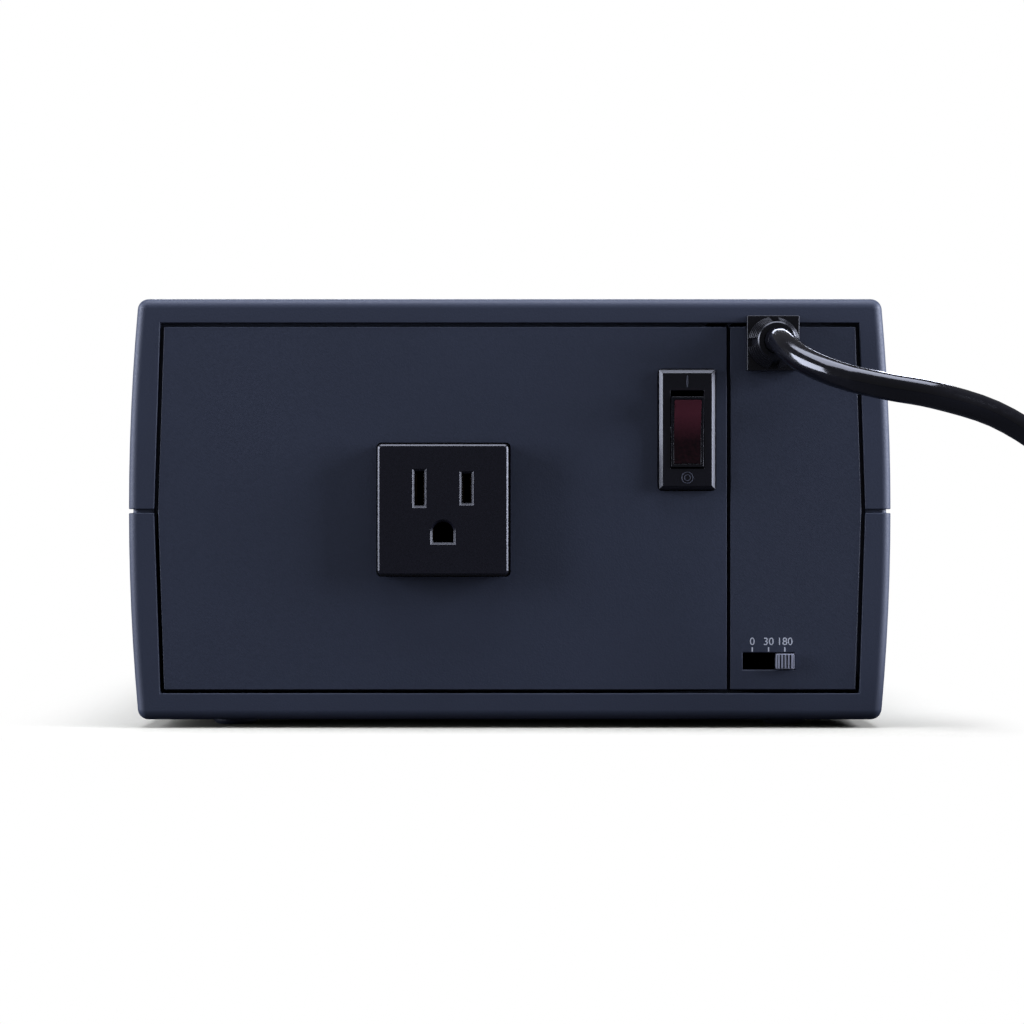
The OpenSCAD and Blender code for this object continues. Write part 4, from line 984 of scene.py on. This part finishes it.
def woven_finish(name, colour, thread):
    """Woven nylon with a nap: threads that cross, each a fraction of a millimetre wide."""
    material, tree, shader, place = new_finish(name)
    warp, weft = (
        put(tree, "ShaderNodeTexWave", {
            "Vector": place, "Scale": 1 / thread / math.tau * 2, "Distortion": 1.5},
            output="Fac", bands_direction=axis)
        for axis in "YZ")
    fuzz = noise(tree, place, 2600, 3)
    weave = calculated(tree, "MULTIPLY", warp, weft)
    height = calculated(tree, "ADD", weave, fuzz)
    feed(shader, {
        "Base Color": between(tree, weave, tone(colour, 0.7), tone(colour, 1.5)),
        "Normal": put(tree, "ShaderNodeBump", {"Height": height, "Distance": 0.0002}),
        "Roughness": 0.85, "Sheen Weight": 0.4, "Sheen Roughness": 0.4,
    })
    return material


tie_finish = woven_finish("black_hook_and_loop", (0.014, 0.014, 0.016), 0.0006)
tie = as_piece("cord_tie_strap", joined(
    strap_shape(tie_outline(0), tie_outline(TIE_THICKNESS), True),
    strap_shape(tie_outline(TIE_THICKNESS + END_GAP)[END_SPAN],
                tie_outline(2 * TIE_THICKNESS)[END_SPAN], False)),
    tie_finish, "case", "tie_fabric", "cord_tie")

# ---------------------------------------------
# Plug. A grounded plug moulded onto the lead in black PVC, with a ribbed boot, finger grips on both
# sides, two nickel-plated blades with their holes, and a round ground pin.

plug_low, plug_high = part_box("plug_body")
plug_middle = (plug_low + plug_high) / 2
plug_length = plug_high.y - plug_low.y
plug_half_x, plug_half_z = (plug_high.x - plug_low.x) / 2, (plug_high.z - plug_low.z) / 2
BOOT_LENGTH = 0.022
BOOT_RIBS = 6
BOOT_START = LEAD_RADIUS + 0.0012
BOOT_END = 0.008
boot_pitch = BOOT_LENGTH / BOOT_RIBS


def plug_ring(along, half_x, half_z, square):
    """Points across the plug, in an ellipse where `square` is 2, and nearer a rectangle above."""
    ring = []
    for i in range(64):
        a = math.tau * i / 64
        c, s = math.cos(a), math.sin(a)
        ring.append(Vector((
            plug_middle.x + half_x * math.copysign(abs(c) ** (2 / square), c), plug_low.y + along,
            plug_middle.z + half_z * math.copysign(abs(s) ** (2 / square), s))))
    return ring


plug_rings = [plug_ring(0.0, BOOT_START - 0.0004, BOOT_START - 0.0004, 2)]
for i in range(BOOT_RIBS):
    rib = BOOT_START + (BOOT_END - BOOT_START) * (i / BOOT_RIBS) ** 1.3
    # How far past the rib's start, and how far outside its radius
    for past_start, outside in (
        (0.0003, 0), (boot_pitch * 0.58, 0.0001), (boot_pitch * 0.66, -0.0007),
        (boot_pitch * 0.95, -0.0006),
    ):
        radius = rib + outside
        plug_rings.append(plug_ring(i * boot_pitch + past_start, radius, radius, 2))
plug_rings.append(plug_ring(BOOT_LENGTH, 0.0078, 0.0078, 2.0))
# How far past the boot, the shares of the full width and height, and how square
for past_boot, wide, high, square in (
    (0.004, 0.74, 0.78, 2.4), (0.008, 0.88, 0.9, 3.0), (0.012, 0.97, 0.97, 3.8), (0.016, 1, 1, 4.5),
):
    plug_rings.append(plug_ring(
        BOOT_LENGTH + past_boot, plug_half_x * wide, plug_half_z * high, square))
# How far short of the face, how far inside the full size, and how square
for short, inside, square in (
    (0.003, 0, 4.8), (0.0008, 0.0002, 4.8), (0.0002, 0.0006, 4.8), (0, 0.0013, 4.6),
):
    plug_rings.append(plug_ring(
        plug_length - short, plug_half_x - inside, plug_half_z - inside, square))

GRIPS = 5
GRIP_START = 0.0165
GRIP_PITCH = 0.0026
GRIP_WIDTH = 0.0013
GRIP_HALF = 0.0065
GRIP_PROUD, GRIP_SUNK = 0.0004, 0.0012
grips = []
for side in (-1, 1):
    plug_side = plug_middle.x + side * plug_half_x
    near, far = sorted((plug_side + side * GRIP_PROUD, plug_side - side * GRIP_SUNK))
    for i in range(GRIPS):
        y = plug_low.y + BOOT_LENGTH + GRIP_START + i * GRIP_PITCH
        grips.append(rounded_block(
            (near, y, plug_middle.z - GRIP_HALF), (far, y + GRIP_WIDTH, plug_middle.z + GRIP_HALF),
            0.0003))
plug_finish = moulded_finish("black_plug_pvc", (0.0085, 0.0085, 0.0105), 0.38, 0.0006, 0.000015)
plug = as_piece("plug_moulding", joined(skin(plug_rings), *grips), plug_finish, "case",
                "plug_pvc", "plug_body")

nickel = metal_finish("nickel_plated_brass", (0.62, 0.6, 0.56), 0.2, brushed=(1, 0.15, 1))
blades_low, blades_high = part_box("plug_blades")
BLADE_THICKNESS = 0.0015
BLADE_EDGE = 0.0002
BLADE_CORNER = 0.0012
HOLE_RADIUS = 0.0016 + BLADE_EDGE
HOLE_TO_TIP = 0.0042
tip = blades_high.y - blades_low.y - BLADE_EDGE
half = (blades_high.z - blades_low.z) / 2 - BLADE_EDGE
blade_border = [
    (BLADE_EDGE, -half, 0), (tip - BLADE_CORNER, -half, 0), (tip, -half + BLADE_CORNER, 0),
    (tip, half - BLADE_CORNER, 0), (tip - BLADE_CORNER, half, 0), (BLADE_EDGE, half, 0)]
hole_angles = [math.tau * i / 24 for i in range(24)]
blade_hole = [
    (tip - HOLE_TO_TIP + HOLE_RADIUS * math.cos(a), HOLE_RADIUS * math.sin(a), 0)
    for a in hole_angles]
blade_curve = path_curve(
    "blade_outline", [blade_border, blade_hole], True, dimensions="2D", fill_mode="BOTH",
    extrude=BLADE_THICKNESS / 2 - BLADE_EDGE, bevel_depth=BLADE_EDGE, bevel_resolution=1)
blade_mesh = evaluated(placed("blade_outline", blade_curve))
blade_shapes = []
for x in (blades_low.x + BLADE_THICKNESS / 2, blades_high.x - BLADE_THICKNESS / 2):
    blade_shapes.append(shape_of(blade_mesh, merge=1e-6))
    blade_shapes[-1].transform(Matrix((
        (0, 0, 1, x), (1, 0, 0, blades_low.y), (0, 1, 0, (blades_low.z + blades_high.z) / 2),
        (0, 0, 0, 1))))
blades = as_piece(
    "plug_blades_stamped", joined(*blade_shapes), nickel, "case", "blade_nickel", "plug_blades")
dress(nickel, "plug_ground_pin")

# ---------------------------------------------
# The table and the light. A plain white table top in even daylight, with a soft box on each side of
# the case, one over it and one before its front.

TABLE_RADIUS = 1.6
CASE_REACH = (0.1, 0.165, 0)
table = turned([(-0.01, TABLE_RADIUS), (0.0, TABLE_RADIUS)], Matrix.Identity(4), sides=96)
floor_mesh = bpy.data.meshes.new("white_table")
table.to_mesh(floor_mesh)
table.free()
floor = placed("white_table", floor_mesh)
floor_finish, floor_tree, floor_shader, floor_place = new_finish("white_table_top")
floor_tree.nodes.remove(floor_shader)
seen_floor = put(floor_tree, "ShaderNodeLightPath", output="Is Camera Ray")
table_white = between(floor_tree, seen_floor, (0.05, 0.05, 0.055, 1), (0.6, 0.568, 0.461, 1))
from_middle = calculated(floor_tree, "ABSOLUTE", floor_place, kind=VECTORS)
past_case = calculated(floor_tree, "SUBTRACT", from_middle, CASE_REACH, kind=VECTORS)
beside_case = calculated(floor_tree, "MAXIMUM", past_case, kind=VECTORS)
far_off = calculated(floor_tree, "LENGTH", beside_case, kind=VECTORS, output="Value")
whitening = put(floor_tree, "ShaderNodeMapRange", {
    "Value": far_off, "From Min": 0.004, "From Max": 0.045}, interpolation_type="SMOOTHSTEP")
feed(floor_tree.nodes["Material Output"], {
    "Surface": put(floor_tree, "ShaderNodeMixShader", {
        0: calculated(floor_tree, "MULTIPLY", whitening, seen_floor),
        1: put(floor_tree, "ShaderNodeBsdfDiffuse", {"Color": table_white}),
        2: put(floor_tree, "ShaderNodeEmission", {"Color": (1, 1, 1, 1), "Strength": 1.0})})})
floor_mesh.materials.append(floor_finish)

world = bpy.data.worlds.new("daylight")
bpy.context.scene.world = world
world.use_nodes = True
sky_tree = world.node_tree
seen_sky = put(sky_tree, "ShaderNodeLightPath", output="Is Camera Ray")
sky_strength = put(sky_tree, "ShaderNodeMix", {"Factor": seen_sky, "A": 0.13, "B": 1.0})
feed(sky_tree.nodes["Background"], {"Strength": sky_strength, "Color": (1, 1, 1, 1)})

DAYLIGHT = (0.76, 0.81, 1.0)
SIDE_BOX = (0.8, 0.66)


def soft_box(name, place, aim, size, power):
    """A rectangular soft light at a place, turned to shine at a point."""
    light = bpy.data.lights.new(name, "AREA")
    light.shape = "RECTANGLE"
    light.size, light.size_y = size
    light.energy = power
    light.color = DAYLIGHT
    box = placed(name, light)
    box.location = place
    box.rotation_euler = (Vector(aim) - Vector(place)).to_track_quat("-Z", "Y").to_euler()


soft_box("right_soft_box", (1.1, -0.25, 0.34), (0, -0.17, 0.06), SIDE_BOX, 38)
soft_box("left_soft_box", (-1.1, -0.25, 0.34), (0, -0.17, 0.06), SIDE_BOX, 26)
soft_box("top_soft_box", (0, -0.13, 1.2), (0, -0.13, 0), (1.3, 0.8), 25)
soft_box("front_soft_box", (0, 1.3, 0.5), (0, 0.17, 0.06), SIDE_BOX, 15)
bpy.context.scene.view_settings.view_transform = "Standard"
